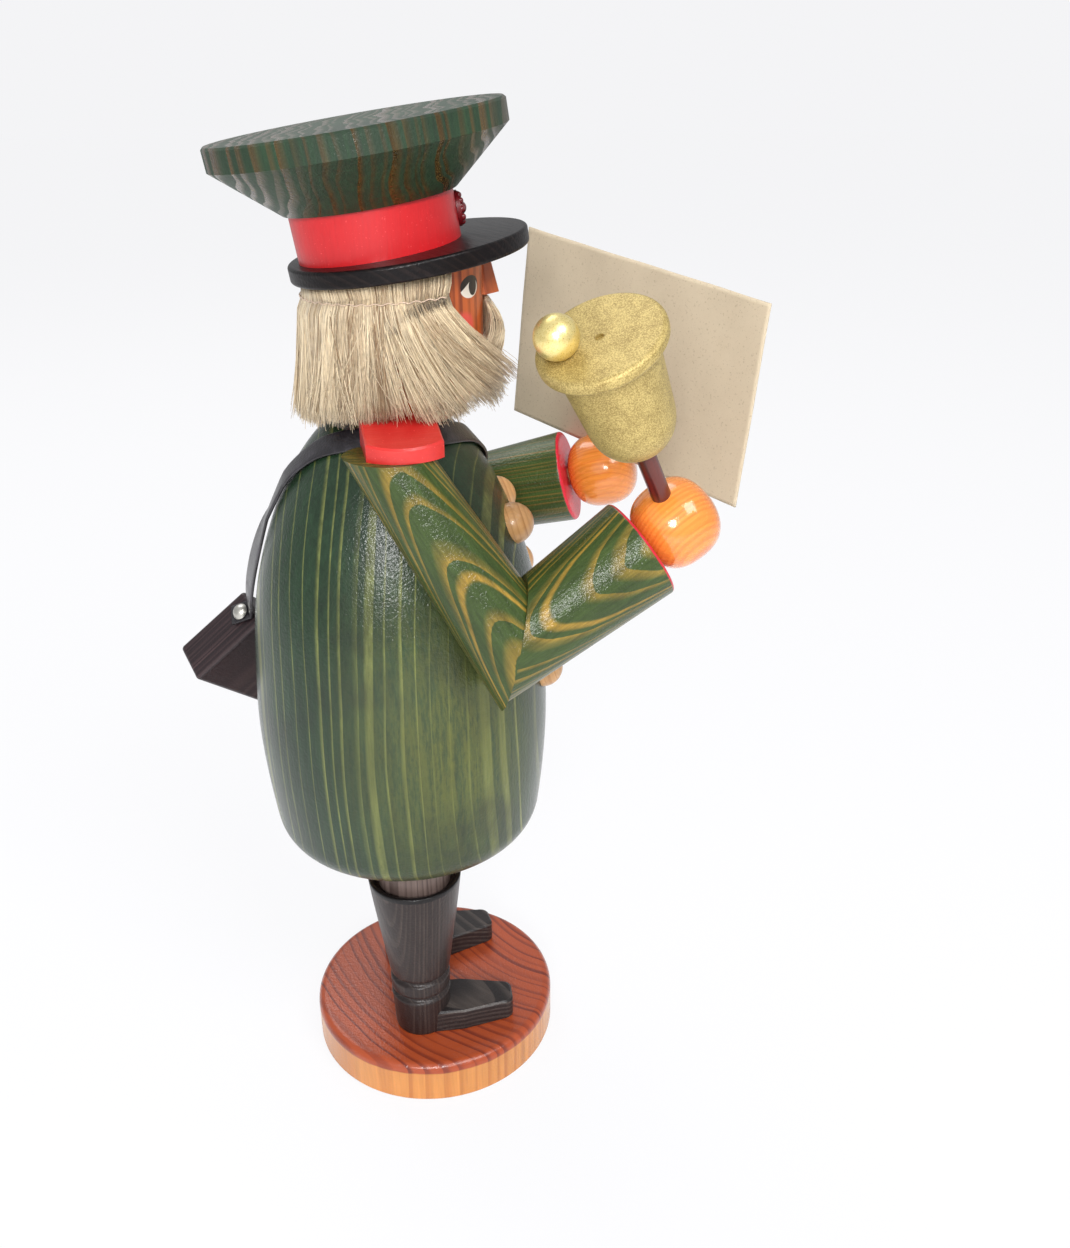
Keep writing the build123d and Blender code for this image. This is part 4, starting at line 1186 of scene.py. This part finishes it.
@dataclass
class Hair:
    """Hair and beard in one sewn fringe, the thread that sews it, and the moustache.

    Turns and sweeps are in degrees, and a spread is the standard deviation of a random draw.
    """

    head_radius: float = 0.01905
    visor_height: float = 0.0337
    visor_back: float = 0.0025
    half_turn: float = 115.5
    stitch_height: float = 0.2112
    seed: int = 11
    strands: int = 2900
    depth: float = 0.0026
    depth_power: float = 0.8
    skin_gap: float = 0.0001
    visor_gap: float = 0.0003
    foot_height: float = 0.1848
    foot_rise: float = 0.0020
    foot_rise_shares: tuple[float, float] = (0.15, 0.45)
    foot_spread: float = 0.0008
    foot_layer_share: float = 0.25
    cheek_start: float = 0.50
    cheek_rise: float = 0.0075
    cheek_rise_power: float = 1.5
    reach_shares: tuple[float, float] = (0.7, 0.3)
    sweep_power: float = 1.35
    flare_power: float = 1.5
    cheek_sweep: tuple[float, float] = (42.0, 12.0)
    cheek_flare: float = 0.0030
    tufts: int = 40
    tuft_blur: float = 0.16
    tuft_spread: float = 4.6
    tuft_flare: float = 0.0024
    tuft_drop: float = 0.0012
    tuft_gather: float = 0.75
    stray_share: float = 0.07
    stray_spread: float = 14.0
    stray_flare: float = 0.0015
    sweep_spread: float = 2.2
    pinch: float = 0.55
    pinch_width: float = 0.08
    flare: float = 0.0008
    strand_radius: float = 0.00010
    strand_taper: float = 0.55
    tone: float = 0.62
    tone_spread: float = 0.2
    cheek_shadow: float = 0.05
    thread_points: int = 160
    thread_ends: tuple[float, float] = (0.012, 0.988)
    thread_tone: float = 0.9
    thread_out: float = 0.0019
    thread_radius: float = 0.00017
    thread_lean_share: float = 0.35
    scallops: int = 30
    scallop_depth: float = 0.0003
    scallop_height: float = 0.0002
    moustache_strands: int = 420
    moustache_top: float = 0.2086
    moustache_length: float = 0.0118
    moustache_radius: float = 0.00012
    moustache_taper: float = 0.5
    moustache_root_fan: tuple[float, float] = (3.0, 11.0)
    moustache_tip_fan: tuple[float, float] = (4.0, 14.0)
    moustache_fan_power: float = 1.1
    moustache_bow: tuple[float, float] = (0.0018, 0.0022)
    moustache_bow_shares: tuple[float, float] = (0.04, 0.66)
    moustache_gap: tuple[float, float] = (0.00025, 0.0006)
    moustache_shortening: float = 0.0034
    moustache_uneven: float = 0.0007
    moustache_drop: float = 0.0006

    def visor_underside(self, turn: Array, radius: Array) -> Array:
        """The height of the visor's underside: it falls towards the back at the cap's lean."""
        return COAT_TOP + self.visor_height - (radius * np.sin(turn) - self.visor_back) * tan(CAP_LEAN)

    def places(self, turn: Array, radius: Array, height: Array) -> Array:
        """Places from turns about the head's axis, distances from it and heights."""
        return np.stack([radius * np.cos(turn), HEAD_BACK + radius * np.sin(turn), height], axis=-1)

    def fringe(self, name: str, seed: int, material: Material) -> None:
        """Lay the bristles: straight down to the stitch line, then fanned out in tufts.

        A strand's turn is its root's, drawn towards its tuft's middle and swept by its tuft,
        and near the cheeks swept forward. Its distance from the head's axis is its layer's,
        pinched at the stitch and flared below it, and its height falls evenly to its own end.

        Args:
            name: The piece's name.
            seed: The start of its random draws.
            material: Its finish.
        """
        rng = np.random.default_rng(seed)
        count = self.strands
        steps = np.linspace(0.0, 1.0, 11)[None, :]
        share = (np.arange(count) + rng.random(count)) / count
        from_back = np.abs(2 * share - 1)
        side = np.where(share > 0.5, 1.0, -1.0)
        edge = smooth(from_back, self.cheek_start, 1.0)
        layer = rng.random(count) ** self.depth_power * self.depth
        tuft = np.floor(share * self.tufts + rng.normal(0.0, self.tuft_blur, count))
        tuft = tuft.clip(0, self.tufts - 1).astype(int)
        tuft_sweep = rng.normal(0.0, self.tuft_spread, self.tufts)[tuft]
        tuft_flare = rng.uniform(0.0, self.tuft_flare, self.tufts)[tuft]
        tuft_drop = rng.uniform(-self.tuft_drop, self.tuft_drop, self.tufts)[tuft]
        middle = (tuft + 0.5) / self.tufts
        stray = rng.random(count) < self.stray_share
        start = self.head_radius + self.skin_gap + layer
        root = np.radians(90.0 + self.half_turn * (2 * share - 1))
        top = self.visor_underside(root, start) - self.visor_gap
        tuft_reach, own_reach = self.reach_shares
        reach = rng.random(self.tufts)[tuft] * tuft_reach + rng.random(count) * own_reach
        foot = self.foot_height + self.foot_rise * smooth(from_back, *self.foot_rise_shares)
        foot = foot + self.cheek_rise * edge ** self.cheek_rise_power * reach - tuft_drop
        foot = foot + rng.normal(0.0, self.foot_spread, count) + layer * self.foot_layer_share
        stitch = ((top - self.stitch_height) / (top - foot))[:, None]
        below = np.clip((steps - stitch) / (1 - stitch), 0.0, 1.0)
        gather = np.radians(self.half_turn * 2 * (middle - share) * self.tuft_gather)[:, None] * below
        sweep = tuft_sweep + side * edge * (self.cheek_sweep[0] + self.cheek_sweep[1] * reach)
        wild, usual = (rng.normal(0.0, spread, count) for spread in (self.stray_spread, self.sweep_spread))
        sweep = sweep + np.where(stray, wild, usual)
        turn = root[:, None] + gather + np.radians(sweep)[:, None] * below ** self.sweep_power
        pinch = 1.0 - self.pinch * np.exp(-(((steps - stitch) / self.pinch_width) ** 2))
        flare = self.flare + tuft_flare + self.cheek_flare * edge * reach
        flare = flare + np.where(stray, self.stray_flare, 0.0)
        flare = flare[:, None] * below ** self.flare_power
        radius = self.head_radius + self.skin_gap + layer[:, None] * pinch + flare
        height = top[:, None] + (foot - top)[:, None] * steps
        widths = np.full(turn.shape, self.strand_radius) * (1.0 - self.strand_taper * steps ** 2)
        tones = self.tone + rng.normal(0.0, self.tone_spread, count)
        tones = tones + rng.normal(0.0, self.tone_spread, self.tufts)[tuft] - self.cheek_shadow * edge
        paths = self.places(turn, radius, height)
        add_strands(name, paths, widths, np.clip(tones, 0.0, 1.0), material, ("hair_fringe",))

    def thread(self, material: Material) -> None:
        """Lay sewing thread round the fringe: sines move its radius and height in small scallops.

        Args:
            material: The thread's finish.
        """
        share = np.linspace(*self.thread_ends, self.thread_points)
        turn = np.radians(90.0 + self.half_turn * (2 * share - 1))
        wave = np.abs(np.sin(share * np.pi * self.scallops))
        radius = self.head_radius + self.thread_out + self.scallop_depth * wave
        height = self.stitch_height + self.scallop_height * np.sin(share * np.pi * 2 * self.scallops)
        height = height - np.sin(turn) * radius * tan(CAP_LEAN) * self.thread_lean_share
        widths = np.full((1, self.thread_points), self.thread_radius)
        path = self.places(turn, radius, height)[None]
        add_strands("hair_thread", path, widths, np.array([self.thread_tone]), material)

    def moustache(self, material: Material) -> None:
        """Lay two tufts that start under the nose, bow forward and fall beside the mouth.

        A bristle's turn grows with its spread and its steps, and its distance from the head's
        axis bows out by a sine, more for the outer layers.

        Args:
            material: The bristles' finish.
        """
        rng = np.random.default_rng(self.seed + 1)
        count, steps = self.moustache_strands, np.linspace(0.0, 1.0, 7)[None, :]
        side = np.where(np.arange(count) % 2 == 0, 1.0, -1.0)[:, None]
        spread = rng.random(count)[:, None]
        depth = rng.random(count)[:, None]
        root, tip, arc, bulge, gap = (
            low + more * share for (low, more), share in (
                (self.moustache_root_fan, spread), (self.moustache_tip_fan, spread),
                (self.moustache_bow_shares, steps), (self.moustache_bow, depth),
                (self.moustache_gap, depth)))
        fan = root + tip * steps ** self.moustache_fan_power
        turn = np.radians(-90.0) + side * np.radians(fan)
        radius = self.head_radius + gap + np.sin(np.pi * arc) * bulge
        uneven = rng.normal(0.0, self.moustache_uneven, count)[:, None]
        length = self.moustache_length - self.moustache_shortening * spread + uneven
        height = self.moustache_top - self.moustache_drop * spread - length * steps
        widths = np.full(turn.shape, self.moustache_radius) * (1.0 - self.moustache_taper * steps ** 2)
        tones = np.clip(rng.normal(self.tone, self.tone_spread, count), 0.0, 1.0)
        paths = self.places(turn, radius, height)
        add_strands("moustache_bristles", paths, widths, tones, material, ("moustache",))

    def build(self) -> None:
        """Make all the bristle pieces."""
        straw = BristleFinish("bristle_straw", shade(140, 108, 72), shade(242, 224, 190)).material()
        names = ("hair_bristles", "hair_bristles_between", "hair_bristles_under")
        for number, name in enumerate(names):
            self.fringe(name, self.seed + 7 * number, straw)
        self.thread(BristleFinish("sewing_thread", shade(150, 116, 96), shade(232, 206, 182)).material())
        self.moustache(straw)


@dataclass
class Sheet:
    """The card that the figure reads from, slightly bowed."""

    run: Point = (-0.831, -0.540, -0.134)
    rise: Point = (-0.126, -0.053, 0.991)
    width: float = 0.078
    height: float = 0.051
    thickness: float = 0.00045
    bow: float = 0.0007
    bow_middle: float = -0.06
    ripple: float = 0.00012
    ripple_turns: tuple[float, float] = (23.0, 9.0)
    grid: tuple[int, int] = (79, 52)

    def build(self) -> None:
        """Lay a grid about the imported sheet's middle and move it out by a shallow bow.

        A point is the middle plus its shares of the width and the height along the sheet's two
        directions. It moves out by the bow times the square of its share across, and by a small
        sine, and both grow from nothing in the slot at the foot.
        """
        middle = np.mean([tuple(corner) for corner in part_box("paper_sheet")], axis=0)
        run = unit(np.array(self.run))
        rise = unit(np.array(self.rise) - run * np.dot(self.rise, run))
        out = np.cross(run, rise)
        shares = (np.linspace(-0.5, 0.5, count) for count in self.grid)
        across, up = np.meshgrid(*shares, indexing="ij")
        bow = self.bow * (np.abs(across) * 2) ** 2 * np.sign(across - self.bow_middle)
        ripple = self.ripple * np.sin(across * self.ripple_turns[0] + up * self.ripple_turns[1])
        moves = ((across * self.width, run), (up * self.height, rise), ((bow + ripple) * (up + 0.5), out))
        front = middle + sum(size[..., None] * way for size, way in moves)
        half = out * self.thickness / 2
        card = PaperFinish("sheet_paper", shade(216, 201, 175), shade(168, 150, 122)).material()
        piece = add_piece(
            "reading_sheet", np.stack([front + half, front - half]), card, "coat",
            ("paper_sheet",), self.shell(*self.grid))

    @staticmethod
    def shell(wide: int, high: int) -> list[list[int]]:
        """The quads of a thin closed slab of two grids, joined along their edges.

        Args:
            wide: Points across a grid.
            high: Points up a grid.

        Returns:
            Point numbers, one quad a row.
        """
        quads, borders = [], []
        for grid in np.arange(2 * wide * high).reshape(2, wide, high):
            corners = [grid[:-1, :-1], grid[1:, :-1], grid[1:, 1:], grid[:-1, 1:]]
            quads.append(np.stack(corners, -1).reshape(-1, 4))
            borders.append(np.concatenate([grid[:, 0], grid[-1, 1:], grid[-2::-1, -1], grid[0, -2:0:-1]]))
        first, second = borders
        rim = np.stack([first, second, np.roll(second, -1), np.roll(first, -1)], -1)
        return np.concatenate([quads[0], quads[1][:, ::-1], rim]).tolist()


@dataclass
class Bag:
    """The strap over the shoulder and the wooden bag that hangs on it."""

    strap_width: float = 0.0054
    strap_thickness: float = 0.0009
    strap_lift: float = 0.0012
    strap_points: int = 150
    section_points: int = 20
    coat_height_shares: tuple[float, ...] = (0.0, 0.075, 0.190, 0.332, 0.481, 0.630, 0.778, 0.897, 1.0)
    coat_radii: tuple[float, ...] = (24.0, 34.8, 36.1, 36.8, 35.9, 33.9, 29.1, 22.9, 13.6)
    route: tuple[tuple[float, float], ...] = (
        (0.239, 0.796), (0.265, 0.896), (0.316, 0.957), (0.400, 0.984), (0.500, 0.988), (0.590, 0.983),
        (0.650, 0.976), (0.700, 0.965), (0.750, 0.944), (0.800, 0.896), (0.838, 0.832), (0.860, 0.766),
        (0.874, 0.692), (0.892, 0.610), (0.925, 0.528), (0.975, 0.462))
    middle: Point = (0.0322, 0.0414, 0.1101)
    turn: float = radians(21.6)
    tilt: float = radians(26.3)
    roll: float = radians(44.0)
    tack_out: float = 0.01575
    tack_up: float = 0.009
    tab_half: float = 0.003
    rear_skew: float = radians(25.0)
    rear_bend: float = 0.006
    arrival_reach: float = 0.012

    def ways(self) -> tuple[Array, Array, Array]:
        """The bag's directions: out of its face, along its width and up.

        Returns:
            The three directions, each of length 1.
        """
        a, t, r = self.turn, self.tilt, self.roll
        out = np.array([cos(t) * cos(a), cos(t) * sin(a), sin(t)])
        level = np.array([sin(a), -cos(a), 0.0])
        upward = np.array([-sin(t) * cos(a), -sin(t) * sin(a), cos(t)])
        return out, level * cos(r) - upward * sin(r), upward * cos(r) + level * sin(r)

    def on_coat(self, turn: Array, height: Array) -> tuple[Array, Array]:
        """Places just off the coat's side, and the way out of it there.

        The coat's radius at a height is read along its smoothed outline, and the way out leans
        by the outline's slope.

        Args:
            turn: Turns about the coat's axis.
            height: Heights above the table.

        Returns:
            The places and the ways out.
        """
        heights = np.array(self.coat_height_shares) * (COAT_TOP - COAT_FOOT) + COAT_FOOT
        fine = np.linspace(COAT_FOOT, COAT_TOP, 900)
        radii = np.interp(fine, heights, np.array(self.coat_radii) * MM)
        radii = smoothed(np.pad(radii, 30, mode="edge"), 61)
        radius, lean = (np.interp(height, fine, values) for values in (radii, np.gradient(radii, fine)))
        out = unit(np.stack([np.cos(turn), np.sin(turn), -lean], axis=-1))
        place = np.stack([radius * np.cos(turn), COAT_BACK + radius * np.sin(turn), height], axis=-1)
        return place + out * self.strap_lift, out

    def centre_line(self) -> tuple[Array, Array]:
        """The strap's middle line and its way out, from the rear tab to the front one.

        The route's turns, as shares of a full one, and its heights, as shares of the coat's, are
        read at even steps of its length, in which a turn counts double, and smoothed.

        Returns:
            The line and the ways out.
        """
        route = np.array(self.route)
        lengths = np.linalg.norm(np.diff(route * (2.0, 1.0), axis=0), axis=1)
        run = np.concatenate([[0.0], np.cumsum(lengths)])
        fine = np.linspace(0.0, run[-1], self.strap_points)
        turn = np.interp(fine, run, route[:, 0]) * 2 * np.pi
        height = COAT_FOOT + np.interp(fine, run, route[:, 1]) * (COAT_TOP - COAT_FOOT)
        for values in (turn, height):
            values[9:-9] = smoothed(values, 19)
        place, out = self.on_coat(turn, height)
        rear = self.tail(-1, place[0], place[0] - place[3], out[0])
        front = self.tail(1, place[-1], place[-1] - place[-4], out[-1])
        line = np.concatenate([rear[0], place[1:-1], front[0][::-1]])
        return line, np.concatenate([rear[1], out[1:-1], front[1][::-1]])

    def tail(self, end: int, leaving: Array, arrival: Array, coat_out: Array) -> tuple[Array, Array]:
        """A tab under a tack and the curve from its top to where the strap leaves the coat.

        The curve is a cubic whose handles follow the tab at one end and the coat at the other.

        Args:
            end: -1 for the rear end of the bag and 1 for its front end.
            leaving: Where the strap leaves the coat.
            arrival: The way the strap goes there.
            coat_out: The way out of the coat there.

        Returns:
            The points from the tab's foot on, and the strap's way out at each.
        """
        out, width, height = self.ways()
        way = width * end
        tack = np.array(self.middle) + way * self.tack_out + height * self.tack_up
        skew, bend = (self.rear_skew, self.rear_bend) if end < 0 else (0.0, 0.0)
        climb = (height * cos(skew) - out * sin(skew)) * self.tab_half
        foot, top = tack - climb, tack + climb
        tab = foot + (top - foot) * np.linspace(0.0, 1.0, 6)[:, None]
        tab_handle = top + climb + way * bend
        coat_handle = leaving + unit(arrival) * self.arrival_reach
        t = np.linspace(0.0, 1.0, 22)[1:, None]
        curve = top * (1 - t) ** 3 + tab_handle * 3 * t * (1 - t) ** 2
        curve = curve + coat_handle * 3 * t ** 2 * (1 - t) + leaving * t ** 3
        turned = unit(way * (1 - t ** 5) + coat_out * t ** 5)
        return np.concatenate([tab, curve]), np.concatenate([np.tile(way, (6, 1)), turned])

    def strap(self) -> Array:
        """Carry a flat section along the strap's line.

        The section's half width and half thickness are scaled by the cosine and sine of a turn,
        each raised to a power below 1, which leaves it flat with rounded edges.

        Returns:
            The points, ring by ring.
        """
        line, ways = self.centre_line()
        along = unit(np.gradient(line, axis=0))
        across = unit(np.cross(along, ways))
        turns = np.linspace(0.0, 2 * np.pi, self.section_points, endpoint=False)
        wide = np.sign(np.cos(turns)) * np.abs(np.cos(turns)) ** 0.35 * self.strap_width / 2
        thick = np.sign(np.sin(turns)) * np.abs(np.sin(turns)) ** 0.5 * self.strap_thickness / 2
        outward = np.cross(across, along)
        return line[:, None] + across[:, None] * wide[:, None] + outward[:, None] * thick[:, None]

    def build(self) -> None:
        """Make the strap and dress the bag."""
        leather = LeatherFinish("strap_leather", shade(30, 27, 31), shade(78, 74, 82)).material()
        add_piece("shoulder_strap", self.strap(), leather, "coat", ("strap",))
        grain = Grain(tuple(np.array(self.middle) + 0.02), tuple(self.ways()[2]), 0.0014, late_share=0.35)
        wood = WoodFinish(
            "bag_brown", shade(36, 25, 28), shade(62, 46, 47), grain, rough=0.46, coat=0.25, fibre=0.5,
            peel=0.00008)
        dress(wood, "bag")


@dataclass
class Studio:
    """Pale floor, soft light and the camera of the photograph."""

    place: Point = (-0.2634, 0.0292, 0.2535)
    look: Point = (0.88029, -0.20028, -0.43009)
    right: Point = (-0.22386, -0.97461, -0.00434)
    lens: float = 33.31
    sensor: float = 36.0
    floor_radius: float = 6.0
    floor_colour: Colour = (0.90, 0.90, 0.91)
    floor_plain: Colour = (0.97, 0.97, 0.985)
    floor_plain_share: float = 0.87
    sky_colour: Colour = (0.97, 0.98, 1.0)
    sky_strength: float = 0.52
    backdrop: Colour = (0.905, 0.905, 0.92)
    target: Point = (0.0, 0.0, 0.13)
    lamps: tuple[tuple[str, Point, float, float], ...] = (
        ("key", (-0.75, -0.35, 1.05), 0.55, 8.0), ("flash", (-0.78, 0.18, 0.51), 0.22, 5.0),
        ("fill", (-0.9, 0.75, 0.55), 0.7, 1.0), ("back", (0.6, 0.2, 1.0), 0.6, 4.0))

    def camera(self) -> None:
        """Stand the camera at the photograph's place, square to its own right and look."""
        data = bpy.data.cameras.new("camera")
        data.sensor_width = self.sensor
        data.lens = self.lens
        data.clip_start = 0.01
        camera = bpy.data.objects.new("camera", data)
        bpy.context.scene.collection.objects.link(camera)
        back = -Vector(self.look).normalized()
        right = Vector(self.right)
        right = (right - back * right.dot(back)).normalized()
        turn = Matrix((right, back.cross(right), back)).transposed().to_4x4()
        camera.matrix_world = Matrix.Translation(self.place) @ turn
        bpy.context.scene.camera = camera

    def lamp(self, name: str, place: Point, size: float, power: float) -> None:
        """Add a soft square lamp that looks at the figure.

        Args:
            name: The lamp's name.
            place: Where it stands.
            size: The length of its sides.
            power: Its power in watts.
        """
        data = bpy.data.lights.new(name, "AREA")
        data.size = size
        data.energy = power
        lamp = bpy.data.objects.new(name, data)
        bpy.context.scene.collection.objects.link(lamp)
        lamp.location = place
        lamp.rotation_euler = (Vector(self.target) - Vector(place)).to_track_quat("-Z", "Y").to_euler()

    @staticmethod
    def show(tree: bpy.types.NodeTree, kind: str, colour: Colour, share: float, usual: Socket,
             end: Socket) -> None:
        """Show the camera a plain tone by a share, and everything else the usual shader.

        Args:
            tree: The nodes.
            kind: The kind of shader that makes the tone.
            colour: The tone.
            share: The share of the tone that the camera sees.
            usual: The usual shader.
            end: Where the result goes.
        """
        kinds = (kind, "LightPath", "Math", "MixShader")
        plain, path, scale, mix = (tree.nodes.new("ShaderNode" + name) for name in kinds)
        plain.inputs["Color"].default_value = (*colour, 1.0)
        scale.operation = "MULTIPLY"
        scale.inputs[1].default_value = share
        sources = (path.outputs["Is Camera Ray"], scale.outputs[0], usual, plain.outputs[0], mix.outputs[0])
        for source, socket in zip(sources, (scale.inputs[0], *mix.inputs, end)):
            tree.links.new(source, socket)

    def floor(self) -> None:
        """Lay a pale round floor far larger than the view."""
        bpy.ops.mesh.primitive_circle_add(
            vertices=96, radius=self.floor_radius, fill_type="NGON", location=ORIGIN)
        floor = bpy.context.object
        floor.name = "floor"
        net = Network("floor_pale")
        net.cover(self.floor_colour, 0.7, Specular_IOR_Level=0.2)
        self.show(net.tree, "Emission", self.floor_plain, self.floor_plain_share,
                  net.skin.outputs["BSDF"], net.output.inputs["Surface"])
        floor.data.materials.append(net.material)

    def world(self) -> None:
        """Light from all round, and a white backdrop to the camera."""
        world = bpy.data.worlds.new("studio")
        bpy.context.scene.world = world
        world.use_nodes = True
        tree = world.node_tree
        tree.nodes.clear()
        sky, output = (tree.nodes.new("ShaderNode" + kind) for kind in ("Background", "OutputWorld"))
        sky.inputs["Color"].default_value = (*self.sky_colour, 1.0)
        sky.inputs["Strength"].default_value = self.sky_strength
        self.show(tree, "Background", self.backdrop, 1.0, sky.outputs[0], output.inputs["Surface"])

    def build(self) -> None:
        """Set up the camera, lamps, floor and world."""
        bpy.context.scene.view_settings.view_transform = "Standard"
        self.camera()
        self.floor()
        self.world()
        for lamp in self.lamps:
            self.lamp(*lamp)


def main() -> None:
    """Build the scene piece by piece."""
    logging.basicConfig(level=logging.INFO, format="%(name)s: %(message)s")
    right_arm = Arm(
        Side.RIGHT, shoulder=(-0.0270, 0.0075, 0.1809), elbow=(-0.0380, -0.0170, 0.1391),
        cuff=(-0.0345, -0.0475, 0.1580), facing=(-0.93, 0.15, 0.33), late_tone=shade(154, 122, 48))
    left_arm = Arm(
        Side.LEFT, shoulder=(0.0270, 0.0075, 0.1809), elbow=(0.0425, -0.0155, 0.1455),
        cuff=(0.0297, -0.0475, 0.1543), facing=(0.93, 0.15, 0.33), late_tone=shade(104, 84, 40))
    for part in (Studio(), Stand(), Coat(), right_arm, left_arm, Bell(), Head(), Hair(), Sheet(), Bag()):
        LOG.info("building %s", type(part).__name__)
        part.build()


if __name__ == "__main__":
    main()
